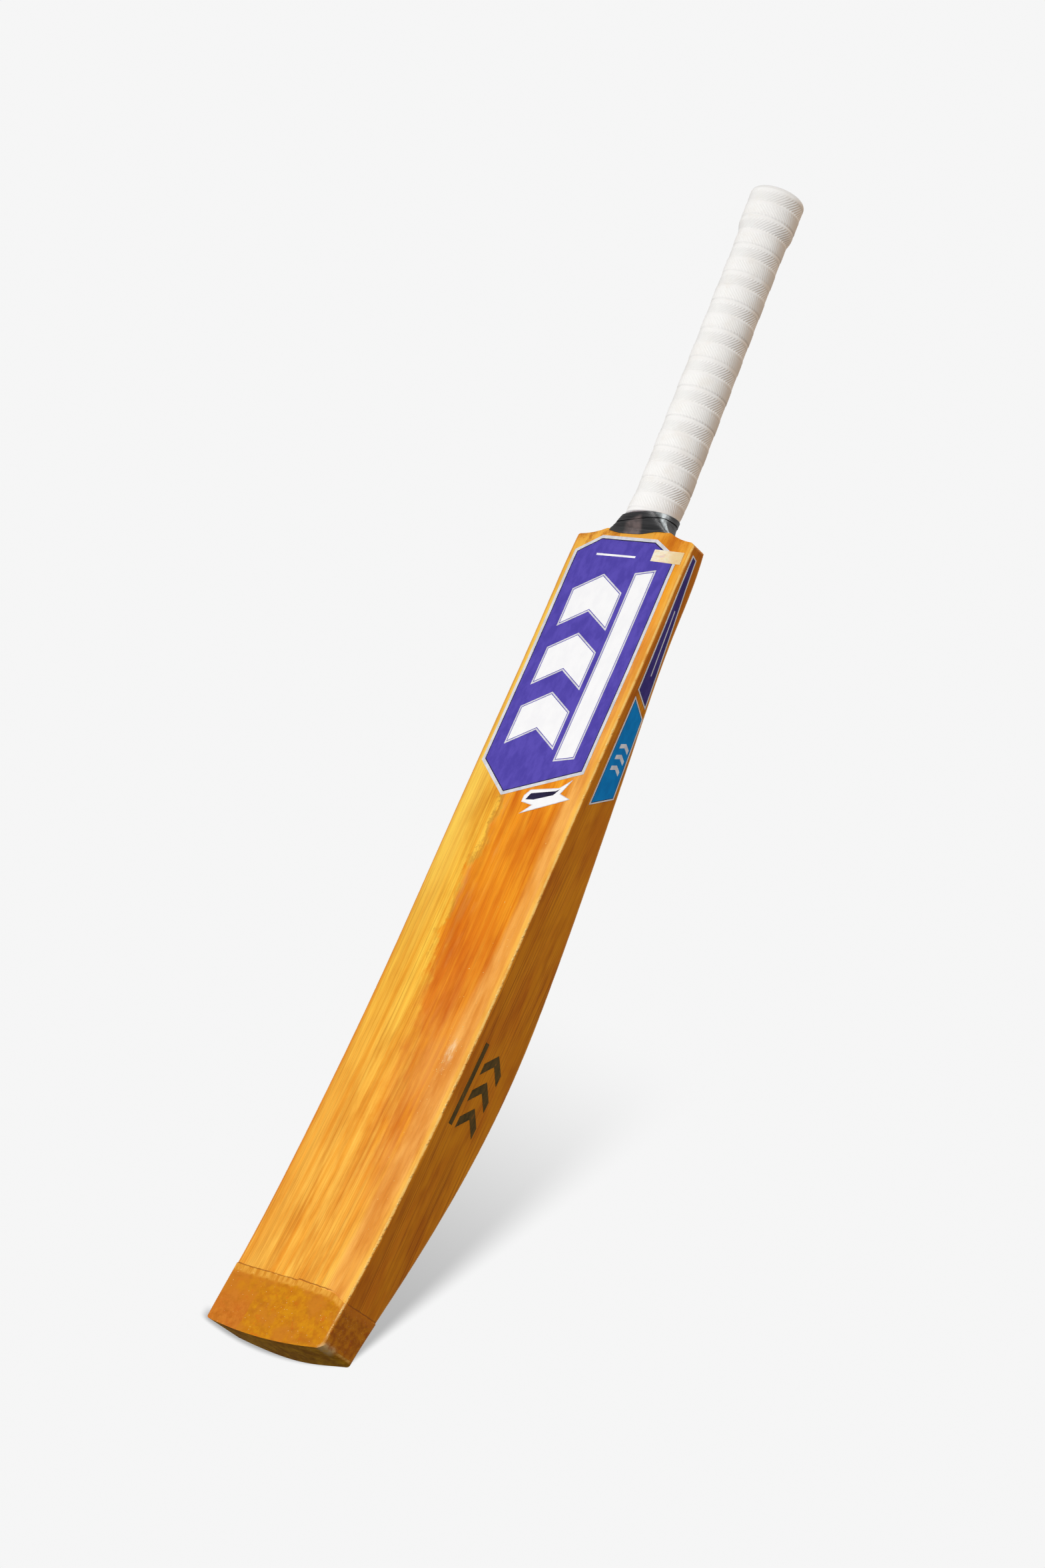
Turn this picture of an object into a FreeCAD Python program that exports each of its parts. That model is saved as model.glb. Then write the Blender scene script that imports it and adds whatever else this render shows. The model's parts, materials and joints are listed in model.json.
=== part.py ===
"""A cricket bat: willow blade, spliced cane handle, rubber grip, tape, toe guard and stickers.

Millimetres. +Z runs from the toe to the butt, the hitting face looks along -Y and +X is to the
right of someone who looks at the face. The origin is under the middle of the bat, at the toe.
"""

import FreeCAD, Part
import math
import os

Vector = FreeCAD.Vector

# ---- Driving dimensions ------------------------------------------------------------------------

HALF_WIDTH = 52.8  # half the width across the face
SILHOUETTE_ROOM = 0.1  # keeps the outline clear of the flat edges, which it doesn't cut
DEPTH_MIDDLE = 28.06  # from the foremost plane of the blade back to the middle of the whole bat

# Blade stations: height, setback of the face, thickness at the edge, thickness at the spine.
STATIONS = (
    (-6.0, 1.7, 30.2, 35.0),
    (50.0, 7.2, 35.1, 42.5),
    (110.0, 11.5, 42.4, 51.5),
    (170.0, 13.9, 47.5, 58.0),
    (230.0, 15.2, 47.9, 61.0),
    (290.0, 15.0, 43.9, 60.3),
    (370.0, 13.4, 36.3, 54.7),
    (450.0, 12.2, 26.8, 44.6),
    (530.0, 10.8, 18.6, 35.0),
    (606.0, 10.5, 9.0, 27.5),
)
ARRIS_RADIUS = 2.5  # between the face and an edge
BACK_RADIUS = 3.0  # between an edge and the back
BACK_POINTS = 9  # points across the back's curve

TOE_Z = 0.35  # the bottom of the wood if it ran to the outside of the toe guard
TOE_RISE = 3.2  # how far the toe's corners are above its middle
TOE_RADIUS = 5.0
SHOULDER_Z = 592.2
SHOULDER_RADIUS = 4.0
SHOULDER_SAG = 1.1  # how far the slope from neck to shoulder hangs below a straight line
NECK_Z = 598.0
NECK_HALF_WIDTH = 28.5

GUARD_THICKNESS = 1.6
GUARD_PROUD = 0.35
# The guard's top edge, as x and height: it dips at the right arris.
GUARD_SIDE = 70.0  # past either edge of the blade
GUARD_EDGE = ((-GUARD_SIDE, 44.5), (8.0, 42.8), (40.0, 40.5), (53.0, 35.4), (GUARD_SIDE, 34.6))

# ---- Handle ------------------------------------------------------------------------------------

LEAN_DEG = 4.5  # the handle leans forward
ROOT_Y = 19.5  # the handle's axis, behind the foremost plane, at the neck
CANE_RADIUS = 15.2
CANE_TOP = 260.0  # along the axis from the neck to the bare butt
BORE_OVERRUN = 1.0  # how far a cutting tool passes the end of what it cuts
SPLICE_DEPTH = 150.0
SPRING_THICKNESS = 1.6
SPRING_OFFSET = 5.0  # from the axis to the middle of each rubber spring
CANE_COLUMNS = (-40.0, -7.6, 0.0, 7.6, 40.0)  # cuts between the strips, across the handle

BINDING_THICKNESS = 0.7
BINDING_TOP = 256.0

GRIP_LOW_RADIUS = 17.9
GRIP_HIGH_RADIUS = 17.0
COLLAR_BASE = 226.0  # along the axis from the neck to the grip's thick collar
COLLAR_RADIUS = 19.5
COLLAR_FLANK = 8.0  # the length over which the collar swells from the sleeve
COLLAR_HOLLOW = 0.75  # how far the swelling lags behind a straight flank, at its middle
BUTT_TOP = 261.7
BUTT_RADIUS = 4.5
BUTT_HOLE_RADIUS = 9.5

# Neck sections: height above the neck, half width in front and behind, reach forward and back, and
# squareness in front and behind.
NECK_SECTIONS = (
    (-1.0, 28.8, 16.6, 8.8, 16.5, 9.0, 2.2),
    (6.0, 23.0, 15.6, 13.0, 16.6, 4.0, 2.1),
    (14.0, 18.2, 16.0, 16.6, 16.4, 2.4, 2.0),
    (22.0, 17.1, 17.1, 17.1, 17.1, 2.0, 2.0),
)
NECK_POINTS = 32
NECK_SINK = 0.5  # how far the neck reaches down into the shoulders
TAPE_THICKNESS = 0.5
RING_THICKNESS = 0.5
# Slanting cuts round the neck: height at the axis, pitch (back up) and roll (right side up).
GRIP_END = (611.7, 12.3, 6.7)
TAPE_JOIN = (607.7, 13.0, 7.9)

# ---- Stickers ----------------------------------------------------------------------------------

STICKER = 0.25
LABEL = 0.4
TRANSFER = 0.12
BEYOND = 90.0  # past any surface of the bat, sideways or in depth
FAR = 900.0  # past either end of the bat

FACE_STICKER = (
    (-47.6, 579.5), (-29.0, 592.0), (20.3, 592.0), (44.7, 579.0), (44.7, 417.0), (-17.6, 394.5), (-47.6, 417.6),
)
FOIL_LABEL = ((22.0, 584.4), (48.5, 583.6), (48.9, 574.4), (22.4, 575.4))
FLASH_STICKER = (
    (2.3, 396.6), (6.1, 401.2), (29.5, 405.0), (38.3, 412.1), (32.5, 401.0), (42.5, 398.0),
    (4.6, 383.2), (12.3, 390.4), (2.3, 391.8),
)
# Edge stickers: distance behind the face, and height.
UPPER_EDGE = ((3.4, 584.5), (8.4, 583.0), (19.6, 477.0), (6.2, 484.6))
LOWER_EDGE = ((6.5, 480.0), (21.2, 470.6), (26.4, 413.6), (7.3, 399.5))
TRANSFER_LOW_Z = 170.0
TRANSFER_BAR = (9.2, 12.6, 58.0)  # its front and back distance behind the face, and its length
CHEVRON_COUNT = 3
CHEVRON_PITCH = 19.0
CHEVRON_ARM = 10.0
CHEVRON_THICKNESS = 8.0
CHEVRON_FRONT = 16.0
CHEVRON_DEPTH = 18.0
BACK_STICKER = (
    (-20.0, 560.0), (-8.0, 572.0), (8.0, 572.0), (20.0, 560.0), (20.0, 432.0), (0.0, 408.0), (-20.0, 432.0),
)


# ---- Helpers -----------------------------------------------------------------------------------

def save(name, shape):
    """Write one node, moved so that the origin is at the middle of the bat's depth."""
    placed = shape.copy()
    placed.translate(Vector(0, -DEPTH_MIDDLE, 0))
    placed.exportStep("parts/%s.step" % name)


def along_handle(distance):
    """The point on the handle's axis at a distance from the neck."""
    lean = math.radians(LEAN_DEG)
    return Vector(0, ROOT_Y - distance * math.sin(lean), NECK_Z + distance * math.cos(lean))


def lean_with_handle(shape):
    """Take a shape drawn about the Z axis, from zero at the neck, to the leaning handle."""
    leaning = shape.copy()
    leaning.rotate(Vector(0, 0, 0), Vector(1, 0, 0), LEAN_DEG)
    leaning.translate(along_handle(0))
    return leaning


def prism(points, along):
    """Extrude a closed polygon along a vector."""
    return Part.Face(Part.makePolygon(points + points[:1])).extrude(along)


def front_prism(outline):
    """A prism over the front half of the bat, from an outline in x and height."""
    points = [Vector(x, -BEYOND, z) for x, z in outline]
    return prism(points, Vector(0, BEYOND + ROOT_Y, 0))


def back_prism(outline):
    """A prism over the back of the bat, from an outline in x and height."""
    points = [Vector(x, ROOT_Y, z) for x, z in outline]
    return prism(points, Vector(0, BEYOND, 0))


def edge_prism(outline, side):
    """A prism over one edge, from an outline in distance behind the face and height."""
    points = [Vector(0, face_setback(z) + depth, z) for depth, z in outline]
    return prism(points, Vector(side * BEYOND, 0, 0))


def half_space(cut):
    """Everything above a slanting cut."""
    height, pitch, roll = cut
    block = Part.makeBox(2 * BEYOND, 2 * BEYOND, FAR, Vector(-BEYOND, -BEYOND, 0))
    block.rotate(Vector(0, 0, 0), Vector(1, 0, 0), pitch)
    block.rotate(Vector(0, 0, 0), Vector(0, 1, 0), -roll)
    block.translate(along_handle(height - NECK_Z))
    return block


# ---- Blade -------------------------------------------------------------------------------------

def face_setback(height):
    """How far the bowed face lies behind the foremost plane, at a height."""
    rows = STATIONS
    for low, high in zip(rows, rows[1:]):
        if height <= high[0]:
            break
    index = rows.index(low)
    before = rows[max(index - 1, 0)]
    after = rows[min(index + 2, len(rows) - 1)]
    span = high[0] - low[0]
    slope_low = (high[1] - before[1]) / (high[0] - before[0]) * span
    slope_high = (after[1] - low[1]) / (after[0] - low[0]) * span
    t = (height - low[0]) / span
    return (
        (2 * t**3 - 3 * t**2 + 1) * low[1]
        + (t**3 - 2 * t**2 + t) * slope_low
        + (3 * t**2 - 2 * t**3) * high[1]
        + (t**3 - t**2) * slope_high
    )


def corner_arc(centre_x, centre_y, radius, start_deg, height):
    """A quarter circle in a blade section, anticlockwise from a start angle."""
    points = []
    for angle in (start_deg, start_deg + 45, start_deg + 90):
        a = math.radians(angle)
        points.append(Vector(centre_x + radius * math.cos(a), centre_y + radius * math.sin(a), height))
    return Part.Arc(*points).toShape()


def back_curve(half, edge_y, spine_y, height):
    """The scooped back from the right edge over the spine to the left edge."""
    points = []
    for index in range(BACK_POINTS):
        share = 1 - 2 * index / (BACK_POINTS - 1)
        swell = (1 + math.cos(math.pi * share)) / 2
        points.append(Vector(half * share, edge_y + (spine_y - edge_y) * swell, height))
    curve = Part.BSplineCurve()
    curve.interpolate(points)
    return curve.toShape()


def blade_section(station, inset):
    """One cross-section of the blade, shrunk by an inset."""
    height, setback, edge, spine = station
    half = HALF_WIDTH - inset
    face_y = setback + inset
    edge_y = setback + edge - inset
    spine_y = setback + spine - inset
    low = face_y + ARRIS_RADIUS
    high = edge_y - BACK_RADIUS
    inner_low = half - ARRIS_RADIUS
    inner_high = half - BACK_RADIUS
    edges = (
        Part.LineSegment(Vector(-inner_low, face_y, height), Vector(inner_low, face_y, height)).toShape(),
        corner_arc(inner_low, low, ARRIS_RADIUS, -90, height),
        Part.LineSegment(Vector(half, low, height), Vector(half, high, height)).toShape(),
        corner_arc(inner_high, high, BACK_RADIUS, 0, height),
        back_curve(inner_high, edge_y, spine_y, height),
        corner_arc(-inner_high, high, BACK_RADIUS, 90, height),
        Part.LineSegment(Vector(-half, high, height), Vector(-half, low, height)).toShape(),
        corner_arc(-inner_low, low, ARRIS_RADIUS, 180, height),
    )
    return Part.Wire(edges)


def sagging(start, end):
    """A shallow hollow arc between two points of the outline."""
    middle = (start + end) / 2 - Vector(0, 0, SHOULDER_SAG)
    return Part.Arc(start, middle, end).toShape()


def silhouette(inset):
    """The blade's outline seen from the front, as a block: rounded toe and sloping shoulders."""
    side = HALF_WIDTH - inset + SILHOUETTE_ROOM
    toe = TOE_Z + inset
    toe_corner = toe + TOE_RISE + TOE_RADIUS
    toe_run = side - TOE_RADIUS
    diagonal = math.sqrt(0.5)
    toe_turn = TOE_RADIUS * (1 - diagonal)
    shoulder = SHOULDER_Z - SHOULDER_RADIUS
    shoulder_run = side - SHOULDER_RADIUS
    shoulder_turn = SHOULDER_RADIUS * (1 - diagonal)
    right = (
        Vector(toe_run, 0, toe + TOE_RISE),
        Vector(side - toe_turn, 0, toe + TOE_RISE + toe_turn),
        Vector(side, 0, toe_corner),
        Vector(side, 0, shoulder),
        Vector(side - shoulder_turn, 0, SHOULDER_Z - shoulder_turn),
        Vector(shoulder_run, 0, SHOULDER_Z),
        Vector(NECK_HALF_WIDTH, 0, NECK_Z),
    )
    left = [Vector(-p.x, p.y, p.z) for p in right]
    edges = (
        Part.Arc(left[0], Vector(0, 0, toe), right[0]).toShape(),
        Part.Arc(right[0], right[1], right[2]).toShape(),
        Part.LineSegment(right[2], right[3]).toShape(),
        Part.Arc(right[3], right[4], right[5]).toShape(),
        sagging(right[5], right[6]),
        Part.LineSegment(right[6], left[6]).toShape(),
        sagging(left[6], left[5]),
        Part.Arc(left[5], left[4], left[3]).toShape(),
        Part.LineSegment(left[3], left[2]).toShape(),
        Part.Arc(left[2], left[1], left[0]).toShape(),
    )
    outline = Part.Face(Part.Wire(edges))
    outline.translate(Vector(0, -BEYOND, 0))
    return outline.extrude(Vector(0, 2 * BEYOND, 0))


def blade_shape(inset):
    """The blade as a plain solid, shrunk by an inset, or swollen by a negative one."""
    sections = [blade_section(station, inset) for station in STATIONS]
    return Part.makeLoft(sections, True).common(silhouette(inset))


def below_guard_edge():
    """The space below the toe guard's wandering top edge."""
    outline = list(GUARD_EDGE) + [(GUARD_SIDE, -BEYOND), (-GUARD_SIDE, -BEYOND)]
    points = [Vector(x, -BEYOND, z) for x, z in outline]
    return prism(points, Vector(0, 2 * BEYOND, 0))


# ---- Neck, splice and handle -------------------------------------------------------------------

def neck_section(row, outset):
    """One closed curve round the neck, wide and square in front, where it meets the shoulders."""
    rise, front_half, back_half, forward, backward, front_square, back_square = row
    height = NECK_Z + rise
    middle = along_handle(rise).y
    points = []
    for index in range(NECK_POINTS):
        angle = 2 * math.pi * index / NECK_POINTS
        behind = math.sin(angle) > 0
        power = 2.0 / (back_square if behind else front_square)
        across = math.copysign(abs(math.cos(angle)) ** power, math.cos(angle))
        deep = math.copysign(abs(math.sin(angle)) ** power, math.sin(angle))
        half_width = front_half + (back_half - front_half) * (1 + deep) / 2
        reach = backward if behind else forward
        points.append(Vector((half_width + outset) * across, middle + (reach + outset) * deep, height))
    curve = Part.BSplineCurve()
    curve.interpolate(Points=points, PeriodicFlag=True)
    return Part.Wire([curve.toShape()])


def neck_shape(outset):
    """The flared neck between the shoulders and the round handle."""
    return Part.makeLoft([neck_section(row, outset) for row in NECK_SECTIONS], True)


def round_bar(radius, low, high):
    """A round bar on the handle's axis between two distances from the neck."""
    return lean_with_handle(Part.makeCylinder(radius, high - low, Vector(0, 0, low)))


def splice():
    """The space that the handle takes: a V through the blade, and the round cane above it."""
    wedge = prism(
        [
            Vector(-CANE_RADIUS, -BEYOND, NECK_Z),
            Vector(CANE_RADIUS, -BEYOND, NECK_Z),
            Vector(0, -BEYOND, NECK_Z - SPLICE_DEPTH),
        ],
        Vector(0, 2 * BEYOND, 0),
    )
    cane = round_bar(CANE_RADIUS, -2 * CANE_RADIUS, CANE_TOP)
    above = Part.makeBox(2 * BEYOND, 2 * BEYOND, FAR, Vector(-BEYOND, -BEYOND, NECK_Z))
    return wedge.fuse(cane.common(above))


def layer(low, high):
    """A slab of the handle between two distances behind its axis."""
    slab = Part.makeBox(2 * BEYOND, high - low, 2 * FAR, Vector(-BEYOND, low, -FAR))
    return lean_with_handle(slab)


def column(left, right):
    """A slice of the handle between two places across it."""
    return Part.makeBox(right - left, 4 * BEYOND, 2 * FAR, Vector(left, -2 * BEYOND, 0))


def save_handle(handle):
    """Split the handle into its cane strips and its rubber springs."""
    half_spring = SPRING_THICKNESS / 2
    springs = {"front": -SPRING_OFFSET, "back": SPRING_OFFSET}
    for name, offset in springs.items():
        save("rubber_spring_" + name, handle.common(layer(offset - half_spring, offset + half_spring)))
    layers = (
        (-BEYOND, -SPRING_OFFSET - half_spring),
        (-SPRING_OFFSET + half_spring, SPRING_OFFSET - half_spring),
        (SPRING_OFFSET + half_spring, BEYOND),
    )
    number = 0
    for low, high in layers:
        sheet = handle.common(layer(low, high))
        for left, right in zip(CANE_COLUMNS, CANE_COLUMNS[1:]):
            number += 1
            save("cane_strip_%02d" % number, sheet.common(column(left, right)))


def binding():
    """The twine wound round the cane, as a sleeve."""
    outer = round_bar(CANE_RADIUS + BINDING_THICKNESS, 0, BINDING_TOP)
    core = round_bar(CANE_RADIUS, -BORE_OVERRUN, BINDING_TOP + BORE_OVERRUN)
    return outer.cut(core).common(half_space(GRIP_END))


def grip():
    """The rubber sleeve, with its thick collar and the lip that folds over the butt."""
    bore = CANE_RADIUS + BINDING_THICKNESS
    collar = COLLAR_BASE + COLLAR_FLANK
    sleeve_end = Vector(GRIP_HIGH_RADIUS, 0, COLLAR_BASE)
    collar_end = Vector(COLLAR_RADIUS, 0, collar)
    flank = (sleeve_end + collar_end) / 2 + Vector(-COLLAR_HOLLOW, 0, COLLAR_HOLLOW)
    diagonal = math.sqrt(0.5)
    shoulder = Vector(COLLAR_RADIUS, 0, BUTT_TOP - BUTT_RADIUS)
    turn = BUTT_RADIUS * (1 - diagonal)
    crown = Vector(COLLAR_RADIUS - turn, 0, BUTT_TOP - turn)
    rim = Vector(COLLAR_RADIUS - BUTT_RADIUS, 0, BUTT_TOP)
    corners = (
        rim,
        Vector(BUTT_HOLE_RADIUS, 0, BUTT_TOP),
        Vector(BUTT_HOLE_RADIUS, 0, CANE_TOP),
        Vector(CANE_RADIUS, 0, CANE_TOP),
        Vector(CANE_RADIUS, 0, BINDING_TOP),
        Vector(bore, 0, BINDING_TOP),
        Vector(bore, 0, 0),
        Vector(GRIP_LOW_RADIUS, 0, 0),
        sleeve_end,
    )
    edges = [Part.LineSegment(a, b).toShape() for a, b in zip(corners, corners[1:])]
    edges.append(Part.Arc(sleeve_end, flank, collar_end).toShape())
    edges.append(Part.LineSegment(collar_end, shoulder).toShape())
    edges.append(Part.Arc(shoulder, crown, rim).toShape())
    profile = Part.Face(Part.Wire(edges))
    sleeve = profile.revolve(Vector(0, 0, 0), Vector(0, 0, 1), 360)
    return lean_with_handle(sleeve).common(half_space(GRIP_END))


def save_tape(neck):
    """The two turns of tape: a band over the flare, and a narrow ring above it."""
    above_neck = Part.makeBox(2 * BEYOND, 2 * BEYOND, FAR, Vector(-BEYOND, -BEYOND, NECK_Z))
    under_grip = half_space(GRIP_END)
    over_join = half_space(TAPE_JOIN)
    band = neck_shape(TAPE_THICKNESS).common(above_neck)
    ring = neck_shape(TAPE_THICKNESS + RING_THICKNESS).common(over_join).cut(under_grip)
    save("neck_tape_lower", band.cut(neck).cut(over_join))
    save("neck_tape_upper", ring.cut(neck))


# ---- Toe guard and stickers --------------------------------------------------------------------

def toe_guard():
    """The resin shell over the toe, a little proud of the wood."""
    outside = blade_shape(-GUARD_PROUD)
    inside = blade_shape(GUARD_THICKNESS)
    return outside.cut(inside).common(below_guard_edge())


def chevrons(side):
    """The dark transfer low on an edge: a row of chevrons beside one long bar."""
    shapes = []
    for index in range(CHEVRON_COUNT):
        low = TRANSFER_LOW_Z + index * CHEVRON_PITCH
        middle = CHEVRON_FRONT + CHEVRON_DEPTH / 2
        back = CHEVRON_FRONT + CHEVRON_DEPTH
        outline = (
            (CHEVRON_FRONT, low),
            (middle, low + CHEVRON_ARM),
            (back, low),
            (back, low + CHEVRON_THICKNESS),
            (middle, low + CHEVRON_ARM + CHEVRON_THICKNESS),
            (CHEVRON_FRONT, low + CHEVRON_THICKNESS),
        )
        shapes.append(edge_prism(outline, side))
    front, back, length = TRANSFER_BAR
    top = TRANSFER_LOW_Z + length
    bar = ((front, TRANSFER_LOW_Z), (back, TRANSFER_LOW_Z), (back, top), (front, top))
    shapes.append(edge_prism(bar, side))
    return shapes


def save_stickers(bare):
    """Everything stuck to the blade: thin skins that follow its surface."""
    sticker_skin = blade_shape(-STICKER).cut(bare)
    face_sticker = sticker_skin.common(front_prism(FACE_STICKER))
    save("face_sticker", face_sticker)
    save("flash_sticker", sticker_skin.common(front_prism(FLASH_STICKER)))
    save("back_sticker", sticker_skin.common(back_prism(BACK_STICKER)))
    label_skin = blade_shape(-LABEL).cut(bare)
    save("foil_label", label_skin.common(front_prism(FOIL_LABEL)).cut(face_sticker))
    transfer_skin = blade_shape(-TRANSFER).cut(bare)
    for name, side in (("right", 1), ("left", -1)):
        save("edge_sticker_upper_" + name, sticker_skin.common(edge_prism(UPPER_EDGE, side)))
        save("edge_sticker_lower_" + name, sticker_skin.common(edge_prism(LOWER_EDGE, side)))
        marks = [transfer_skin.common(shape) for shape in chevrons(side)]
        save("edge_transfer_" + name, Part.makeCompound(marks))


# ---- The bat -----------------------------------------------------------------------------------

def main():
    os.makedirs("parts", exist_ok=True)
    bare = blade_shape(0)
    low_corner = Vector(-BEYOND, -BEYOND, NECK_Z - NECK_SINK)
    neck = neck_shape(0).common(Part.makeBox(2 * BEYOND, 2 * BEYOND, FAR, low_corner))
    neck = neck.cut(half_space(GRIP_END))
    guard = toe_guard()
    notch = splice()
    wood = bare.fuse(neck)
    save("blade", wood.cut(notch).cut(guard))
    cane_above = round_bar(CANE_RADIUS, 0, CANE_TOP).common(half_space(GRIP_END))
    save_handle(wood.common(notch).fuse(cane_above))
    save("toe_guard", guard)
    save("handle_binding", binding())
    save("grip", grip())
    save_tape(neck)
    save_stickers(bare)


main()
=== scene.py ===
import json
import math
import random

import bmesh
import bpy
from mathutils import Matrix, Vector, noise
from mathutils.bvhtree import BVHTree


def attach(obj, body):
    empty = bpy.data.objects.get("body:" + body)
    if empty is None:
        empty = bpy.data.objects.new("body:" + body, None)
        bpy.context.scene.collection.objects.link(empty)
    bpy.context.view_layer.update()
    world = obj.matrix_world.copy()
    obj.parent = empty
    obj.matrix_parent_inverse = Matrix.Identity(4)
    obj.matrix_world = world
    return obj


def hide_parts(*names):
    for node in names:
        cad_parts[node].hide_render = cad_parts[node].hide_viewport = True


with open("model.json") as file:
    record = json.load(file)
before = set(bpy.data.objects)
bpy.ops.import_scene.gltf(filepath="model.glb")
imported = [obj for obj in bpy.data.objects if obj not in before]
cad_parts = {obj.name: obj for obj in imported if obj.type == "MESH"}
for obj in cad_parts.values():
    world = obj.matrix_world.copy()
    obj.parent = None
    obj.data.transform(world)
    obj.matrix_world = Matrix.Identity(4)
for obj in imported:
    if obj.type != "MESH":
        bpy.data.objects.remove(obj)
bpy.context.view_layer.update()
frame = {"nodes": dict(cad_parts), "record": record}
NODES = frame["nodes"]

# ---- Sizes, in metres ----

MM = 0.001

# The handle's axis, from the record's collar mount.
MOUNT = next(m for m in frame["record"]["mounts"] if m["name"] == "butt_collar")
MOUNT_CENTRE = Vector(MOUNT["pos_m"])
AXIS = Vector(MOUNT["axis"]).normalized()
RIGHT = Vector((1, 0, 0))
BACK = AXIS.cross(RIGHT)
COLLAR_RADIUS = MOUNT["dims"]["r_mm"] * MM
BUTT_ABOVE_MOUNT = 0.0161

# The grip's moulded bands, in millimetres: one step has a deep band, a ridge and a shallow band.
FIRST_STEP = 24.2  # below the butt; the sleeve is stretched more towards its lower end
STEP_PITCH = 21.1
STEP_STRETCH = 0.13
STEP_LENGTH = 22.4  # of the unstretched sleeve
DEEP_BAND = (2.3, 10.8)

PALE = (0.92, 0.92, 0.92)


# ---- Helpers: nodes ----

def srgb(red, green, blue):
    """A colour given as 0 to 255, as linear RGBA."""
    channels = []
    for value in (red, green, blue):
        share = value / 255
        channels.append(share / 12.92 if share <= 0.04045 else ((share + 0.055) / 1.055) ** 2.4)
    return (*channels, 1.0)


class Shader:
    """A material with a Principled shader, and short calls that add nodes to it."""

    def __init__(self, name, roughness=0.5, specular=0.5, coat=0.0, coat_roughness=0.1):
        self.material = bpy.data.materials.new(name)
        self.material.use_nodes = True
        self.tree = self.material.node_tree
        self.surface = self.tree.nodes["Principled BSDF"]
        self.surface.inputs["Roughness"].default_value = roughness
        self.surface.inputs["Specular IOR Level"].default_value = specular
        self.surface.inputs["Coat Weight"].default_value = coat
        self.surface.inputs["Coat Roughness"].default_value = coat_roughness
        self.place = self.node("ShaderNodeTexCoord").outputs["Object"]

    def node(self, kind, inputs=None, **settings):
        made = self.tree.nodes.new(kind)
        for key, value in settings.items():
            setattr(made, key, value)
        for key, value in (inputs or {}).items():
            self.feed(made.inputs[key], value)
        return made

    def feed(self, socket, value):
        """Link a socket to another node's output, or set its own value."""
        if isinstance(value, bpy.types.NodeSocket):
            self.tree.links.new(value, socket)
        else:
            socket.default_value = value

    def math(self, operation, first, second=0.0, third=0.0):
        made = self.node("ShaderNodeMath", operation=operation)
        for socket, value in zip(made.inputs, (first, second, third)):
            self.feed(socket, value)
        return made.outputs[0]

    def times(self, *factors):
        product = factors[0]
        for factor in factors[1:]:
            product = self.math("MULTIPLY", product, factor)
        return product

    def shaken(self, value, noise_value, most):
        """A value that a noise moves up or down, by at most this much."""
        return self.math("ADD", value, self.math("MULTIPLY_ADD", noise_value, 2 * most, -most))

    def axes(self):
        """A point's place on the object: x, y and z in metres."""
        return self.node("ShaderNodeSeparateXYZ", {"Vector": self.place}).outputs

    def facing(self):
        """The surface's own direction: across, back and up."""
        made = self.node("ShaderNodeTexCoord")
        return self.node("ShaderNodeSeparateXYZ", {"Vector": made.outputs["Normal"]}).outputs

    def stretched(self, scale, offset=(0, 0, 0)):
        made = self.node("ShaderNodeMapping", {"Vector": self.place, "Scale": scale, "Location": offset})
        return made.outputs[0]

    def noise(self, scale, offset=(0, 0, 0), detail=3.0, roughness=0.5):
        """Noise with its own scale along each axis, in cells per metre."""
        inputs = {
            "Vector": self.stretched(scale, offset),
            "Scale": 1.0,
            "Detail": detail,
            "Roughness": roughness,
        }
        return self.node("ShaderNodeTexNoise", inputs).outputs["Fac"]

    def ramp(self, value, low, high, to_low=0.0, to_high=1.0):
        """A smooth step of value between low and high."""
        inputs = {"Value": value, "From Min": low, "From Max": high, "To Min": to_low, "To Max": to_high}
        return self.node("ShaderNodeMapRange", inputs, interpolation_type="SMOOTHSTEP").outputs["Result"]

    def mix(self, share, first, second, blend="MIX"):
        """A blend of two colours, each 0 to 255, linear RGBA or another node's output."""
        made = self.node("ShaderNodeMix", data_type="RGBA", blend_type=blend)
        for name, value in (("Factor_Float", share), ("A_Color", first), ("B_Color", second)):
            if isinstance(value, tuple) and len(value) == 3:
                value = srgb(*value)
            self.feed(next(s for s in made.inputs if s.identifier == name), value)
        return next(s for s in made.outputs if s.identifier == "Result_Color")

    def colour(self, value):
        self.feed(self.surface.inputs["Base Color"], value)

    def rough(self, value):
        self.feed(self.surface.inputs["Roughness"], value)

    def bump(self, height, distance, strength):
        made = self.node("ShaderNodeBump", {"Height": height, "Distance": distance, "Strength": strength})
        self.feed(self.surface.inputs["Normal"], made.outputs[0])


# ---- Materials: what several share ----

# The toe guard's top edge, and how far it falls between two places across the bat.
GUARD_TOP = 0.0445
GUARD_FALLS = (
    (-0.070, 0.008, 0.0017),
    (0.0046, 0.0054, -0.0009),
    (0.008, 0.040, 0.0023),
    (0.040, 0.053, 0.0051),
)
CRACK_COLOUR = (146, 80, 22)
CRACK_REACH = (0.0007, 0.0001)
CRACK_WANDER = 0.0012
SIDEWAYS = (0.72, 0.96)  # how far a surface looks right or left, where a face turns into an edge


def guard_edge(s, x):
    """The height of the toe guard's top edge as a function of x."""
    height = GUARD_TOP
    for start, end, fall in GUARD_FALLS:
        made = s.node("ShaderNodeMapRange", {"Value": x, "From Min": start, "From Max": end, "To Max": -fall})
        height = s.math("ADD", made.outputs["Result"], height)
    return height


def seam(s, x, z):
    """How far a point is above the wandering crack at the top of the toe guard."""
    wander = s.noise((110, 110, 0), (2, 5, 1), detail=5, roughness=0.65)
    return s.shaken(s.math("SUBTRACT", z, guard_edge(s, x)), wander, CRACK_WANDER)


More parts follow.
